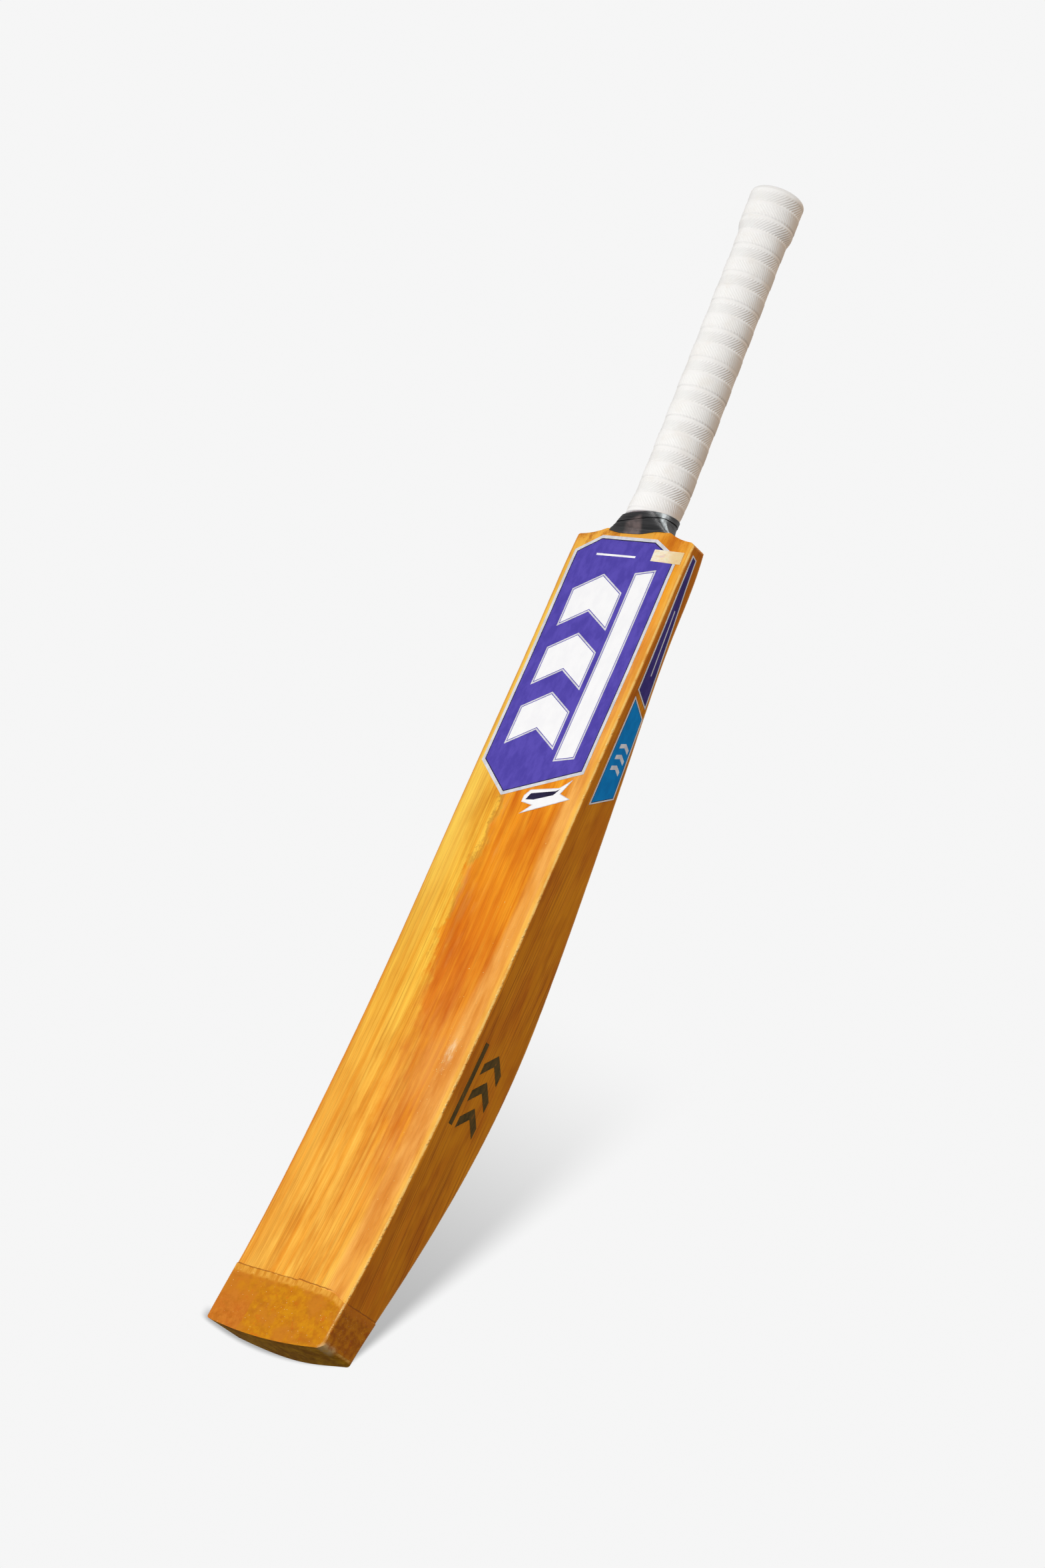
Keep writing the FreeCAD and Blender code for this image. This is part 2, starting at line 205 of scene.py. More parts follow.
def arris(s, across, back):
    """A thin broken line of painted highlight along both front arrises."""
    out = s.math("ABSOLUTE", across)
    line = s.times(s.ramp(out, 0.36, 0.60), s.ramp(out, 0.95, 0.84), s.ramp(back, -0.1, -0.25))
    broken = s.noise((60, 60, 90), (3, 3, 8), detail=5, roughness=0.7)
    return s.times(line, s.ramp(broken, 0.38, 0.54, 0.35, 1.0))


def from_middle(s, x, z, middle, sharpness):
    """The squared distance from a spot's middle, which is one at the spot's rim."""
    squares = []
    for value, centre, scale in zip((x, z), middle, sharpness):
        share = s.times(s.math("SUBTRACT", value, centre), scale)
        squares.append(s.times(share, share))
    return s.math("ADD", *squares)


# ---- Materials: willow ----

# Soft steps across the blade or up it, each from where it starts to where it is complete.
LOW_WOOD = (0.300, 0.130)
PALE_LEFT = (-0.026, -0.042)
PALE_LEFT_HEIGHT = (0.220, 0.360)
SHOULDER = (0.565, 0.590)
SHOULDER_BLOTCHES = (0.560, 0.585)
LEFT_ARRIS = (-0.0485, -0.0520)
RIGHT_ARRIS = (0.0472, 0.0500)
EVEN_LEFT = (-0.022, -0.040)
HAZE_LEFT = (0.012, -0.004)
HAZE_LOW = (0.30, 0.20)
STAIN_FOOT = (0.050, 0.170)
STAIN_HEAD = (0.60, 0.52)
SOFT_BORDER = (0.30, 0.14)
BROWN_BORDER = (0.22, 0.32)
SHEEN_STRIP = (0.034, 0.041)
STRIP_HEAD = (0.56, 0.50)
STRIP_WIDER = (0.33, 0.20)
CRACK_RIGHT = (0.040, 0.032)
EDGE_DEPTH = (-0.026, 0.004)

BORDER_LEFT = -0.050
BORDER_SWING = 0.070
BORDER_WIDTH = (0.0034, 0.011)
RED_PATCH = (0.010, 0.278)
RED_PATCH_SHARPNESS = (38, 17)  # one over half the patch's width and height
GLARE_SPOT = (0.0365, 0.211)
GLARE_SPOT_SHARPNESS = (230, 75)
TONE_DARK = (0.86, 0.69, 0.46, 1.0)
TONE_PALE = (1.10, 1.20, 1.28, 1.0)
TONE_NONE = (1.0, 1.0, 1.0, 1.0)


def gold_wood(s, x, z, grain, broad):
    """The unstained wood: yellow on the left, tan lower down, brown at the shoulders."""
    gold = s.mix(s.ramp(broad, 0.34, 0.66), (255, 202, 74), (238, 158, 38))
    gold = s.mix(s.times(grain, 0.75), gold, (196, 118, 20))
    low = s.mix(s.ramp(broad, 0.36, 0.64), (255, 192, 80), (246, 164, 52))
    low = s.mix(s.times(grain, 0.8), low, (196, 124, 34))
    gold = s.mix(s.ramp(z, *LOW_WOOD), gold, low)
    left = s.times(s.ramp(x, *PALE_LEFT), s.ramp(z, *PALE_LEFT_HEIGHT))
    gold = s.mix(s.times(left, 0.5), gold, (255, 214, 94))
    cloud = s.noise((70, 70, 45), (4, 4, 4), detail=5, roughness=0.6)
    tanned = s.mix(s.ramp(cloud, 0.35, 0.65), (244, 178, 72), (206, 128, 32))
    gold = s.mix(s.ramp(s.shaken(z, cloud, 0.015), *SHOULDER), gold, tanned)
    blotch = s.noise((190, 190, 120), (6, 2, 9), detail=5, roughness=0.65)
    blotch = s.times(s.ramp(blotch, 0.50, 0.64), s.ramp(z, *SHOULDER_BLOTCHES))
    gold = s.mix(s.times(blotch, 0.7), gold, (184, 98, 22))
    # The left arris is redder.
    return s.mix(s.ramp(x, *LEFT_ARRIS, 0.0, 0.65), gold, (214, 112, 28))


def stained_wood(s, x, z, grain, broad, cloud):
    """The orange wood: brightest at the top, with a red-brown patch in the middle of the blade."""
    orange = s.mix(s.ramp(broad, 0.36, 0.64), (248, 162, 36), (232, 130, 16))
    orange = s.mix(s.times(grain, 0.5), orange, (200, 96, 8))
    patch = s.shaken(from_middle(s, x, z, RED_PATCH, RED_PATCH_SHARPNESS), cloud, 1.2)
    orange = s.mix(s.times(s.ramp(patch, 1.3, 0.0), 0.5), orange, (212, 98, 10))
    haze = s.times(s.ramp(cloud, 0.48, 0.66), s.ramp(x, *HAZE_LEFT))
    low_haze = s.times(s.ramp(z, *HAZE_LOW), s.ramp(cloud, 0.40, 0.60, 0.2, 0.8))
    return s.mix(s.times(s.math("MAXIMUM", haze, low_haze), 0.6), orange, (226, 150, 82))


def face_wood(s, x, z, grain, broad):
    """The face: a jagged border, near the middle, between the two kinds of wood, and a strip of painted sheen
    near the right arris.
    """
    cloud = s.noise((75, 75, 17), (8, 1, 2), detail=6, roughness=0.62)
    wander = s.noise((22, 22, 20), (1, 5, 11), detail=9, roughness=0.66)
    border = s.math("MULTIPLY_ADD", wander, BORDER_SWING, BORDER_LEFT)
    beyond = s.math("SUBTRACT", x, border)
    soft = s.times(s.ramp(cloud, 0.3, 0.7, *BORDER_WIDTH), s.ramp(z, *SOFT_BORDER, 1.0, 5.0))
    stained = s.ramp(s.math("DIVIDE", beyond, soft), 0.0, 1.0)
    height = s.times(s.ramp(z, *STAIN_FOOT), s.ramp(z, *STAIN_HEAD, 0.45, 1.0))
    stained = s.times(stained, height, s.ramp(cloud, 0.25, 0.5, 0.7, 1.0))
    face = s.mix(stained, gold_wood(s, x, z, grain, broad), stained_wood(s, x, z, grain, broad, cloud))
    # The stain is darkest at its border.
    rim = s.times(s.ramp(beyond, 0.0075, 0.0010), s.ramp(beyond, -0.0012, 0.0010), height)
    rim = s.times(rim, s.ramp(cloud, 0.42, 0.58, 0.05, 0.55), s.ramp(z, *BROWN_BORDER))
    face = s.mix(rim, face, (184, 112, 34))
    # Painted sheen: a paler strip down the face beside the right arris.
    strip_edge = s.math("ADD", s.shaken(x, wander, 0.003), s.ramp(z, *STRIP_WIDER, 0.0, 0.006))
    strip = s.times(s.ramp(strip_edge, *SHEEN_STRIP), s.ramp(z, *STRIP_HEAD))
    sheen = s.mix(s.ramp(cloud, 0.35, 0.65), (250, 182, 96), (238, 158, 66))
    face = s.mix(s.times(strip, 0.78), face, sheen)
    # A pale spot of painted glare, among the specks of varnish.
    glare = s.noise((420, 420, 130), (2, 9, 4), detail=4, roughness=0.7)
    spot = s.ramp(from_middle(s, x, z, GLARE_SPOT, GLARE_SPOT_SHARPNESS), 1.2, 0.0)
    glare = s.times(s.ramp(glare, 0.42, 0.66, 0.15, 1.0), spot)
    face = s.mix(s.times(glare, 0.7), face, (255, 228, 186))
    return s.mix(s.ramp(x, *RIGHT_ARRIS, 0.0, 0.7), face, (255, 190, 78))


def edge_wood(s, y, broad, behind):
    """The edges, browner and with painted shade, darkest beside the face; and the back."""
    streak = s.noise((0, 1500, 5), (2, 3, 7), detail=4, roughness=0.65)
    patch = s.noise((20, 90, 14), (5, 3, 2), detail=3)
    lines = s.times(s.ramp(streak, 0.46, 0.64), s.ramp(patch, 0.36, 0.58, 0.35, 1.0))
    brown = s.mix(s.ramp(y, *EDGE_DEPTH), (190, 104, 4), (214, 130, 10))
    brown = s.mix(s.ramp(patch, 0.42, 0.60, 0.0, 0.5), brown, (228, 140, 22))
    brown = s.mix(s.times(lines, 0.7), brown, (142, 68, 2))
    back = s.mix(s.ramp(broad, 0.3, 0.7), (246, 180, 66), (224, 144, 42))
    strands = s.noise((1500, 200, 5), (8, 3, 7), detail=4, roughness=0.65)
    back = s.mix(s.ramp(strands, 0.48, 0.68, 0.0, 0.6), back, (188, 112, 28))
    return s.mix(behind, brown, back)


def willow():
    """Varnished willow: straight grain along the blade, an orange stain down the right of the face."""
    s = Shader("willow", specular=0.08, coat=0.07, coat_roughness=0.14)
    x, y, z = s.axes()
    across, back, _ = s.facing()
    streak = s.noise((1900, 60, 5), detail=4, roughness=0.7)
    middle = s.noise((620, 40, 4), (4, 1, 3), detail=4, roughness=0.65)
    broad = s.noise((190, 60, 3), (7, 2, 1), detail=6, roughness=0.72)
    patch = s.noise((40, 40, 12), (6, 3, 8), detail=3)
    fine = s.noise((3200, 150, 30), (3, 1, 4), detail=2, roughness=0.6)
    lines = s.math("MAXIMUM", s.ramp(streak, 0.50, 0.70), s.ramp(middle, 0.52, 0.68, 0.0, 0.8))
    grain = s.times(lines, s.ramp(patch, 0.38, 0.60, 0.35, 1.0))
    colour = face_wood(s, x, z, grain, broad)
    # A few small dark knots.
    cells = s.node("ShaderNodeTexVoronoi", {"Vector": s.stretched((44, 44, 17)), "Scale": 1.0})
    knot = s.ramp(cells.outputs["Distance"], 0.06, 0.02)
    colour = s.mix(s.times(knot, 0.7), colour, (132, 62, 16))
    behind = s.ramp(back, 0.25, 0.45)
    side = s.math("MAXIMUM", s.ramp(s.math("ABSOLUTE", across), *SIDEWAYS), behind)
    # Painted shade: the edges take edge_wood's darker, browner colours.
    colour = s.mix(side, colour, edge_wood(s, y, broad, behind))
    colour = s.mix(s.ramp(fine, 0.45, 0.75, 0.0, 0.30), colour, (176, 104, 30), blend="MULTIPLY")
    # Soft clouds of darker, redder and of paler, yellower wood.
    shade = s.noise((62, 62, 15), (3, 7, 5), detail=5, roughness=0.6)
    tone = s.mix(s.ramp(shade, 0.32, 0.62), TONE_DARK, TONE_PALE)
    tone = s.mix(s.ramp(x, *EVEN_LEFT, 0.0, 0.5), tone, TONE_NONE)
    colour = s.mix(s.ramp(side, 0.0, 1.0, 0.9, 0.7), colour, tone, blend="MULTIPLY")
    # Painted highlight: a pale line along the front arrises.
    line = arris(s, across, back)
    colour = s.mix(s.times(line, 0.85), colour, (255, 210, 122))
    crack = s.ramp(s.math("ABSOLUTE", seam(s, x, z)), *CRACK_REACH)
    crack = s.times(crack, s.ramp(patch, 0.38, 0.50, 0.35, 0.8))
    crack = s.times(crack, s.math("MAXIMUM", side, s.ramp(x, *CRACK_RIGHT, 0.1, 1.0)))
    s.colour(s.mix(crack, colour, CRACK_COLOUR))
    s.rough(s.math("SUBTRACT", s.ramp(streak, 0.3, 0.7, 0.30, 0.44), s.times(line, 0.2)))
    s.bump(s.math("ADD", fine, s.times(lines, -0.8)), 0.00012, 0.35)
    return s.material


# ---- Materials: the others ----

GUARD_TAN = (-0.0205, -0.0220)
GUARD_TAN_HEIGHT = (0.032, 0.014)
GUARD_STRIP = (-0.0062, -0.0040)  # from the crack
RUBBED_CORNER = (0.0435, 0.0475)  # x less z
RUBBED_FRONT = (-0.010, -0.017)
BAND_LOW = (0.6070, 0.6045)
BAND_SLANT = -0.35
FRONT_SHEEN_LEFT = (-0.014, -0.009)
FRONT_SHEEN_RIGHT = (0.004, 0.000)
FOIL_TAN = (0.028, 0.046)
NECK_CUT = (0.5975, 0.5985)
TWINE_PITCH = 0.0011


def resin():
    """Amber resin over the toe: a pale strip under the crack, brown on the left, tiny bright specks."""
    s = Shader("toe_resin", specular=0.12)
    x, y, z = s.axes()
    across, back, up = s.facing()
    mottle = s.noise((230, 230, 230), (2, 8, 3), detail=6, roughness=0.68)
    cloud = s.noise((55, 55, 65), (3, 3, 7), detail=4, roughness=0.6)
    amber = s.mix(s.ramp(mottle, 0.34, 0.66), (200, 120, 10), (216, 144, 10))
    amber = s.mix(s.ramp(cloud, 0.46, 0.62, 0.0, 0.8), amber, (204, 124, 30))
    hot = s.noise((130, 130, 160), (9, 2, 5), detail=4, roughness=0.6)
    amber = s.mix(s.ramp(hot, 0.60, 0.72, 0.0, 0.55), amber, (222, 100, 10))
    left = s.times(s.ramp(s.shaken(x, cloud, 0.006), *GUARD_TAN), s.ramp(z, *GUARD_TAN_HEIGHT, 0.35, 1.0))
    tan = s.mix(s.ramp(mottle, 0.35, 0.65), (214, 128, 40), (198, 106, 26))
    amber = s.mix(s.times(left, 0.85), amber, tan)
    dark = s.noise((85, 85, 120), (5, 9, 1), detail=5, roughness=0.62)
    amber = s.mix(s.ramp(dark, 0.48, 0.68, 0.0, 0.4), amber, (172, 98, 8))
    above = seam(s, x, z)
    drips = s.noise((420, 420, 60), (1, 1, 1), detail=4, roughness=0.6)
    strip = s.ramp(s.shaken(above, drips, 0.0035), *GUARD_STRIP)
    pale = s.mix(s.ramp(drips, 0.35, 0.65), (238, 172, 66), (214, 136, 34))
    amber = s.mix(strip, amber, pale)
    brown = s.mix(s.ramp(mottle, 0.36, 0.64), (170, 90, 2), (204, 124, 8))
    brown = s.mix(s.ramp(hot, 0.60, 0.70, 0.0, 0.5), brown, (168, 66, 6))
    brown = s.mix(s.times(strip, 0.6), brown, (206, 118, 20))
    # Painted shade: the toe guard's sides are darker and browner than its face.
    amber = s.mix(s.ramp(s.math("ABSOLUTE", across), *SIDEWAYS), amber, brown)
    # The end under the toe is dull and olive, and its front rim is paler.
    end = s.ramp(up, -0.45, -0.75)
    under = s.mix(s.ramp(cloud, 0.40, 0.60), (222, 162, 36), (184, 122, 20))
    under = s.mix(s.ramp(mottle, 0.35, 0.65, 0.0, 0.6), under, (152, 96, 14))
    amber = s.mix(end, amber, under)
    wear = s.times(s.ramp(up, -0.15, -0.35), s.ramp(up, -0.65, -0.45))
    amber = s.mix(s.times(wear, s.ramp(mottle, 0.40, 0.60, 0.1, 0.7)), amber, (250, 196, 96))
    corner = s.shaken(s.math("SUBTRACT", x, z), mottle, 0.005)
    corner = s.times(s.ramp(corner, *RUBBED_CORNER, 0.0, 0.6), s.ramp(y, *RUBBED_FRONT))
    amber = s.mix(corner, amber, (226, 196, 148))
    # Painted highlight: a pale line along the toe guard's front arrises.
    line = s.times(arris(s, across, back), s.ramp(drips, 0.45, 0.62, 0.1, 0.7))
    amber = s.mix(line, amber, (255, 214, 146))
    crack = s.ramp(s.math("ABSOLUTE", above), *CRACK_REACH)
    amber = s.mix(s.times(crack, 0.7), amber, CRACK_COLOUR)
    # Tiny bright specks, scattered through the resin.
    speck_cells = s.node("ShaderNodeTexVoronoi", {"Vector": s.stretched((900, 900, 900)), "Scale": 1.0})
    dot = s.ramp(speck_cells.outputs["Distance"], 0.20, 0.12)
    number = s.node("ShaderNodeSeparateColor", {"Color": speck_cells.outputs["Color"]}).outputs[0]
    s.colour(s.mix(s.times(dot, s.ramp(number, 0.93, 0.96)), amber, (255, 232, 180)))
    s.rough(s.ramp(end, 0.0, 1.0, 0.34, 0.85))
    s.bump(mottle, 0.0003, 0.4)
    return s.material


def painted_band_shade(s):
    """One in the grip's bands of deep ribs and at its step grooves, where the rubber gets painted shade;
    worked out from the distance below the butt.
    """
    up = s.node("ShaderNodeVectorMath", {0: s.place, 1: AXIS}, operation="DOT_PRODUCT").outputs["Value"]
    butt = MOUNT_CENTRE.dot(AXIS) + BUTT_ABOVE_MOUNT
    below = s.math("MULTIPLY_ADD", up, -1 / MM, butt / MM)
    start = STEP_PITCH**2 - 4 * STEP_STRETCH * FIRST_STEP
    root = s.math("MAXIMUM", s.math("MULTIPLY_ADD", below, 4 * STEP_STRETCH, start), 0.0)
    turn = s.math("DIVIDE", s.math("SUBTRACT", s.math("SQRT", root), STEP_PITCH), 2 * STEP_STRETCH)
    along = s.times(s.math("FRACT", turn), STEP_LENGTH)
    start, end = DEEP_BAND
    deep = s.times(s.ramp(along, start, start + 2.0), s.ramp(along, end, end - 1.2))
    return s.math("MAXIMUM", deep, s.ramp(along, STEP_LENGTH - 1.6, STEP_LENGTH - 0.6))


def rubber():
    """White grip rubber, matt, faintly soiled, greyer with painted shade in the bands of deep ribs and step
    grooves, and darker and warmer with painted shade on its right and back.
    """
    s = Shader("grip_rubber", roughness=0.55, specular=0.3)
    soil = s.noise((70, 70, 70), (5, 5, 5), detail=5, roughness=0.6)
    across, back, _ = s.facing()
    # Painted shade: the rubber that faces right and back is tinted darker and warmer.
    behind = s.ramp(s.math("ADD", across, back), 0.55, 1.35)
    white = s.mix(s.ramp(soil, 0.45, 0.75, 0.0, 0.5), (255, 254, 252), (244, 238, 230))
    # Painted shade: the bands of deep ribs and the step grooves are greyer.
    white = s.mix(s.times(painted_band_shade(s), 0.42), white, (238, 237, 235))
    s.colour(s.mix(behind, white, (226, 206, 186)))
    s.bump(s.noise((2500, 2500, 2500), detail=2), 0.00005, 0.3)
    return s.material


def tape():
    """Glossy black tape: fine wrinkles along its turns, a painted brownish sheen on its front and a painted
    silvery highlight on its right front corner.
    """
    s = Shader("black_tape", specular=0.7)
    x, _, z = s.axes()
    across, back, _ = s.facing()
    turns = s.noise((24, 24, 900), (1, 1, 1), detail=5, roughness=0.65)
    dimple = s.noise((170, 170, 240), (2, 1, 6), detail=4, roughness=0.6)
    black = s.mix(s.ramp(turns, 0.3, 0.7), (26, 28, 30), (46, 46, 48))
    low = s.ramp(s.math("ADD", z, s.times(x, BAND_SLANT)), *BAND_LOW)
    # Painted sheen: a lighter brownish patch on the front of the lower band.
    front_sheen = s.times(s.ramp(back, -0.35, -0.85), s.ramp(x, *FRONT_SHEEN_LEFT), s.ramp(x, *FRONT_SHEEN_RIGHT))
    front_sheen = s.times(front_sheen, low, s.ramp(dimple, 0.35, 0.6, 0.5, 1.0))
    black = s.mix(front_sheen, black, (112, 98, 96))
    # Painted highlight: a silvery patch on the lower band's right front corner, broken up by a noise.
    highlight_breakup = s.noise((300, 300, 40), (4, 1, 6), detail=3, roughness=0.6)
    corner = s.times(s.ramp(across, 0.35, 0.75), s.ramp(back, -0.05, -0.35))
    corner = s.times(corner, low, s.ramp(highlight_breakup, 0.3, 0.6, 0.35, 1.0))
    s.colour(s.mix(corner, black, (236, 246, 250)))
    s.rough(s.ramp(turns, 0.3, 0.7, 0.26, 0.42))
    s.bump(s.math("ADD", turns, s.times(dimple, 0.4)), 0.0004, 0.4)
    return s.material


def film(name, first, second, specular=0.2):
    """Printed sticker film, with a slight mottle and ripple."""
    s = Shader(name, roughness=0.35, specular=specular)
    mottle = s.noise((160, 160, 90), (4, 6, 2), detail=4, roughness=0.6)
    s.colour(s.mix(s.ramp(mottle, 0.35, 0.65), first, second))
    s.bump(s.noise((50, 50, 40), (1, 2, 3), detail=2), 0.0002, 0.3)
    return s.material


def foil():
    """A small metallic label: pale cream, with soft green and pink tints and a tan right end."""
    s = Shader("foil", roughness=0.3)
    x, _, _ = s.axes()
    band = s.noise((120, 120, 300), (3, 1, 2), detail=3, roughness=0.6)
    fleck = s.noise((900, 900, 900), (1, 4, 2), detail=3)
    cream = s.mix(s.ramp(band, 0.35, 0.6), (250, 226, 176), (255, 246, 226))
    cream = s.mix(s.ramp(band, 0.56, 0.66, 0.0, 0.7), cream, (226, 240, 186))
    cream = s.mix(s.ramp(band, 0.44, 0.36, 0.0, 0.6), cream, (236, 206, 224))
    cream = s.mix(s.ramp(x, *FOIL_TAN, 0.0, 0.8), cream, (236, 204, 140))
    s.colour(s.mix(s.ramp(fleck, 0.55, 0.7, 0.0, 0.25), cream, (206, 166, 100)))
    s.bump(fleck, 0.0001, 0.3)
    return s.material


def ink():
    """The edge's dark transfer: thin olive-black ink, worn through to the wood in places."""
    s = Shader("transfer_ink", roughness=0.4, specular=0.1)
    wear = s.noise((500, 500, 120), (2, 2, 2), detail=5, roughness=0.7)
    ground = s.mix(s.ramp(wear, 0.35, 0.6), (70, 58, 26), (98, 76, 34))
    s.colour(s.mix(s.ramp(wear, 0.60, 0.72, 0.0, 0.8), ground, (176, 104, 22)))
    s.bump(wear, 0.00005, 0.3)
    return s.material


def twine():
    """Waxed brown twine, in fine turns round the handle, darker with painted shade where the bump sinks
    between turns.
    """
    s = Shader("twine", roughness=0.8)
    _, _, z = s.axes()
    turn = s.math("SINE", s.times(z, 2 * math.pi / TWINE_PITCH))
    # Painted shade: the colour darkens where the bump sinks between turns.
    s.colour(s.mix(s.ramp(turn, -1, 1), (96, 66, 40), (170, 128, 84)))
    s.bump(turn, 0.0003, 0.6)
    return s.material


def cane():
    """Cane with long fibres; below the neck it is cut flush with the blade, and varnished with it."""
    s = Shader("cane", roughness=0.6)
    _, _, z = s.axes()
    fibre = s.noise((2600, 2600, 30), detail=3, roughness=0.6)
    bare = s.mix(fibre, (178, 132, 78), (224, 190, 132))
    varnished = s.mix(fibre, (250, 184, 60), (226, 150, 40))
    s.colour(s.mix(s.ramp(z, *NECK_CUT), varnished, bare))
    s.bump(fibre, 0.0001, 0.4)
    return s.material


def bead():
    """Set varnish, in pale gold; the paleness also stands in for the beads' glints, as painted highlight."""
    s = Shader("varnish_bead", roughness=0.3, specular=0.15)
    cloud = s.noise((500, 500, 300), detail=2)
    # Partly painted highlight: the beads are pale so that they read as glints.
    s.colour(s.mix(s.ramp(cloud, 0.35, 0.65), (255, 222, 140), (255, 192, 92)))
    return s.material


def spring_rubber():
    """Black rubber, faintly speckled."""
    s = Shader("spring_rubber", roughness=0.7)
    speck = s.noise((900, 900, 900), detail=4)
    s.colour(s.mix(speck, (30, 28, 27), (58, 54, 50)))
    s.bump(speck, 0.0001, 0.3)
    return s.material


MATERIALS = {
    "willow": willow(),
    "cane": cane(),
    "spring_rubber": spring_rubber(),
    "twine": twine(),
    "grip_rubber": rubber(),
    "black_tape": tape(),
    "toe_resin": resin(),
    "violet_sticker": film("violet_sticker", (77, 64, 168), (90, 76, 182)),
    "cyan_sticker": film("cyan_sticker", (0, 124, 196), (4, 136, 210), specular=0.08),
    "white_sticker": film("white_sticker", (250, 250, 252), (254, 254, 255)),
    "foil": foil(),
    "transfer_ink": ink(),
    # A darker copy of the violet, as painted shade on the edges.
    "violet_edge_shaded": film("violet_edge_shaded", (58, 46, 118), (70, 56, 130), specular=0.1),
    "silver_print": film("silver_print", (206, 206, 214), (228, 228, 232)),
    "dark_print": film("dark_print", (26, 20, 52), (34, 28, 64)),
    "varnish_bead": bead(),
}


# ---- Helpers: meshes ----

def add_object(name, data):
    made = bpy.data.objects.new(name, data)
    bpy.context.scene.collection.objects.link(made)
    return made


def new_piece(name, mesh, slot, node=None, material=None):
    """An object from a mesh: it rides on the bat, gets the material of its slot or the material given, and
    may stand for a CAD node.
    """
    piece = add_object(name, mesh)
    mesh.materials.append(MATERIALS[material or slot])
    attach(piece, "root")
    if node:
        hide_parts(node)
    return piece


def turn_outward(mesh):
    """Make a closed mesh's faces look outward."""
    work = bmesh.new()
    work.from_mesh(mesh)
    bmesh.ops.recalc_face_normals(work, faces=work.faces[:])
    work.to_mesh(mesh)
    work.free()


def thicken(piece, thickness):
    """Give an open sheet its thickness, on the side away from its faces."""
    modifier = piece.modifiers.new("thickness", "SOLIDIFY")
    modifier.thickness = thickness
    modifier.offset = -1.0


def smooth(mesh):
    for polygon in mesh.polygons:
        polygon.use_smooth = True


def smoothstep(low, high, value):
    share = min(max((value - low) / (high - low), 0.0), 1.0)
    return share * share * (3 - 2 * share)


def between(low, high, soft, value):
    """One inside low to high, zero outside, with soft shoulders."""
    return smoothstep(low, low + soft, value) * (1 - smoothstep(high - soft, high, value))


def tree_of(name):
    """A ray-casting tree of a CAD node."""
    mesh = NODES[name].data
    places = [vertex.co.copy() for vertex in mesh.vertices]
    return BVHTree.FromPolygons(places, [tuple(polygon.vertices) for polygon in mesh.polygons])


# ---- Grip ----

# Heights are distances below the butt.
NECK_BELOW_MOUNT = 0.2456
SLEEVE_LENGTH = BUTT_ABOVE_MOUNT + NECK_BELOW_MOUNT
SLEEVE_RADIUS_LOW = 0.0179
SLEEVE_RADIUS_HIGH = 0.0170
RIM_RADIUS = 0.0045
COLLAR_INSET = 0.0003  # the collar's plain radius is this much under the record's
COLLAR_WAIST = 0.0004
COLLAR_WAIST_BELOW = 0.019
COLLAR_WAIST_WIDTH = 0.008
COLLAR_FLANK = (0.0268, 0.0362)
HOLE_RADIUS = 0.0095
HOLE_ROUNDING = 0.0003
HOLE_DEPTH = 0.0017
RIM_INSIDE = 0.001
BINDING_BORE = 0.0160
BINDING_TOP = 0.0056
CANE_BORE = 0.0153
CAP_INSIDE = 0.0020

RIB_COUNT = 48
RIB_COLUMNS = 6  # columns of points for each rib
RIM_ROWS = (0.0, 0.0001, 0.0003, 0.0007, 0.0012, 0.0019, 0.0027)
GRIP_ROW = 0.0006
EVEN_ROWS_END = 0.225
LOW_ROWS = 42  # rows from there to the slanting lower end
GRIP_END_SLIP = Vector((-0.0009, -0.0009, 0.0))  # the sleeve's lower end is pulled to the left and front
GRIP_SLIP_LENGTH = 0.018
GRIP_END_FLARE = 0.0002
GRIP_END_PLAIN = (0.0015, 0.004)  # the ribs fade out this far above the lower end
GRIP_RAY_BELOW = 0.30
GRIP_RAY_RADIUS = 0.0172

# The bands' places within one step, in millimetres, and how far they stand out, in metres.
RIBS_START = 5.5
RIDGE = (10.5, 13.3)
SHALLOW_BAND = (13.1, 21.9)
STEP_GROOVE = (21.7, 22.4)
STEP_GROOVE_END = 0.35
DEEP_SUNK = 0.00030
DEEP_RIB = 0.00034
SHALLOW_PROUD = 0.00010
SHALLOW_RIB = 0.00020
RIDGE_PROUD = 0.00026
STEP_SUNK = 0.00055


def on_axis(below_butt):
    """The point on the handle's axis at a distance below the butt."""
    return MOUNT_CENTRE + AXIS * (BUTT_ABOVE_MOUNT - below_butt)


def round_handle(below_butt, radius, angle):
    """A point round the handle; angle zero is on the bat's right, and a quarter turn is at its back."""
    return on_axis(below_butt) + RIGHT * (radius * math.cos(angle)) + BACK * (radius * math.sin(angle))


def sleeve_radius(below):
    """The grip's plain radius below the butt: rounded rim, collar, flank and tapered sleeve."""
    taper = SLEEVE_RADIUS_HIGH + (SLEEVE_RADIUS_LOW - SLEEVE_RADIUS_HIGH) * below / SLEEVE_LENGTH
    collar = COLLAR_RADIUS - COLLAR_INSET
    collar -= COLLAR_WAIST * math.exp(-(((below - COLLAR_WAIST_BELOW) / COLLAR_WAIST_WIDTH) ** 2))
    radius = collar + (taper - collar) * smoothstep(*COLLAR_FLANK, below)
    if below < RIM_RADIUS:
        drop = RIM_RADIUS - below
        radius -= RIM_RADIUS - math.sqrt(max(RIM_RADIUS**2 - drop**2, 0.0))
    return radius


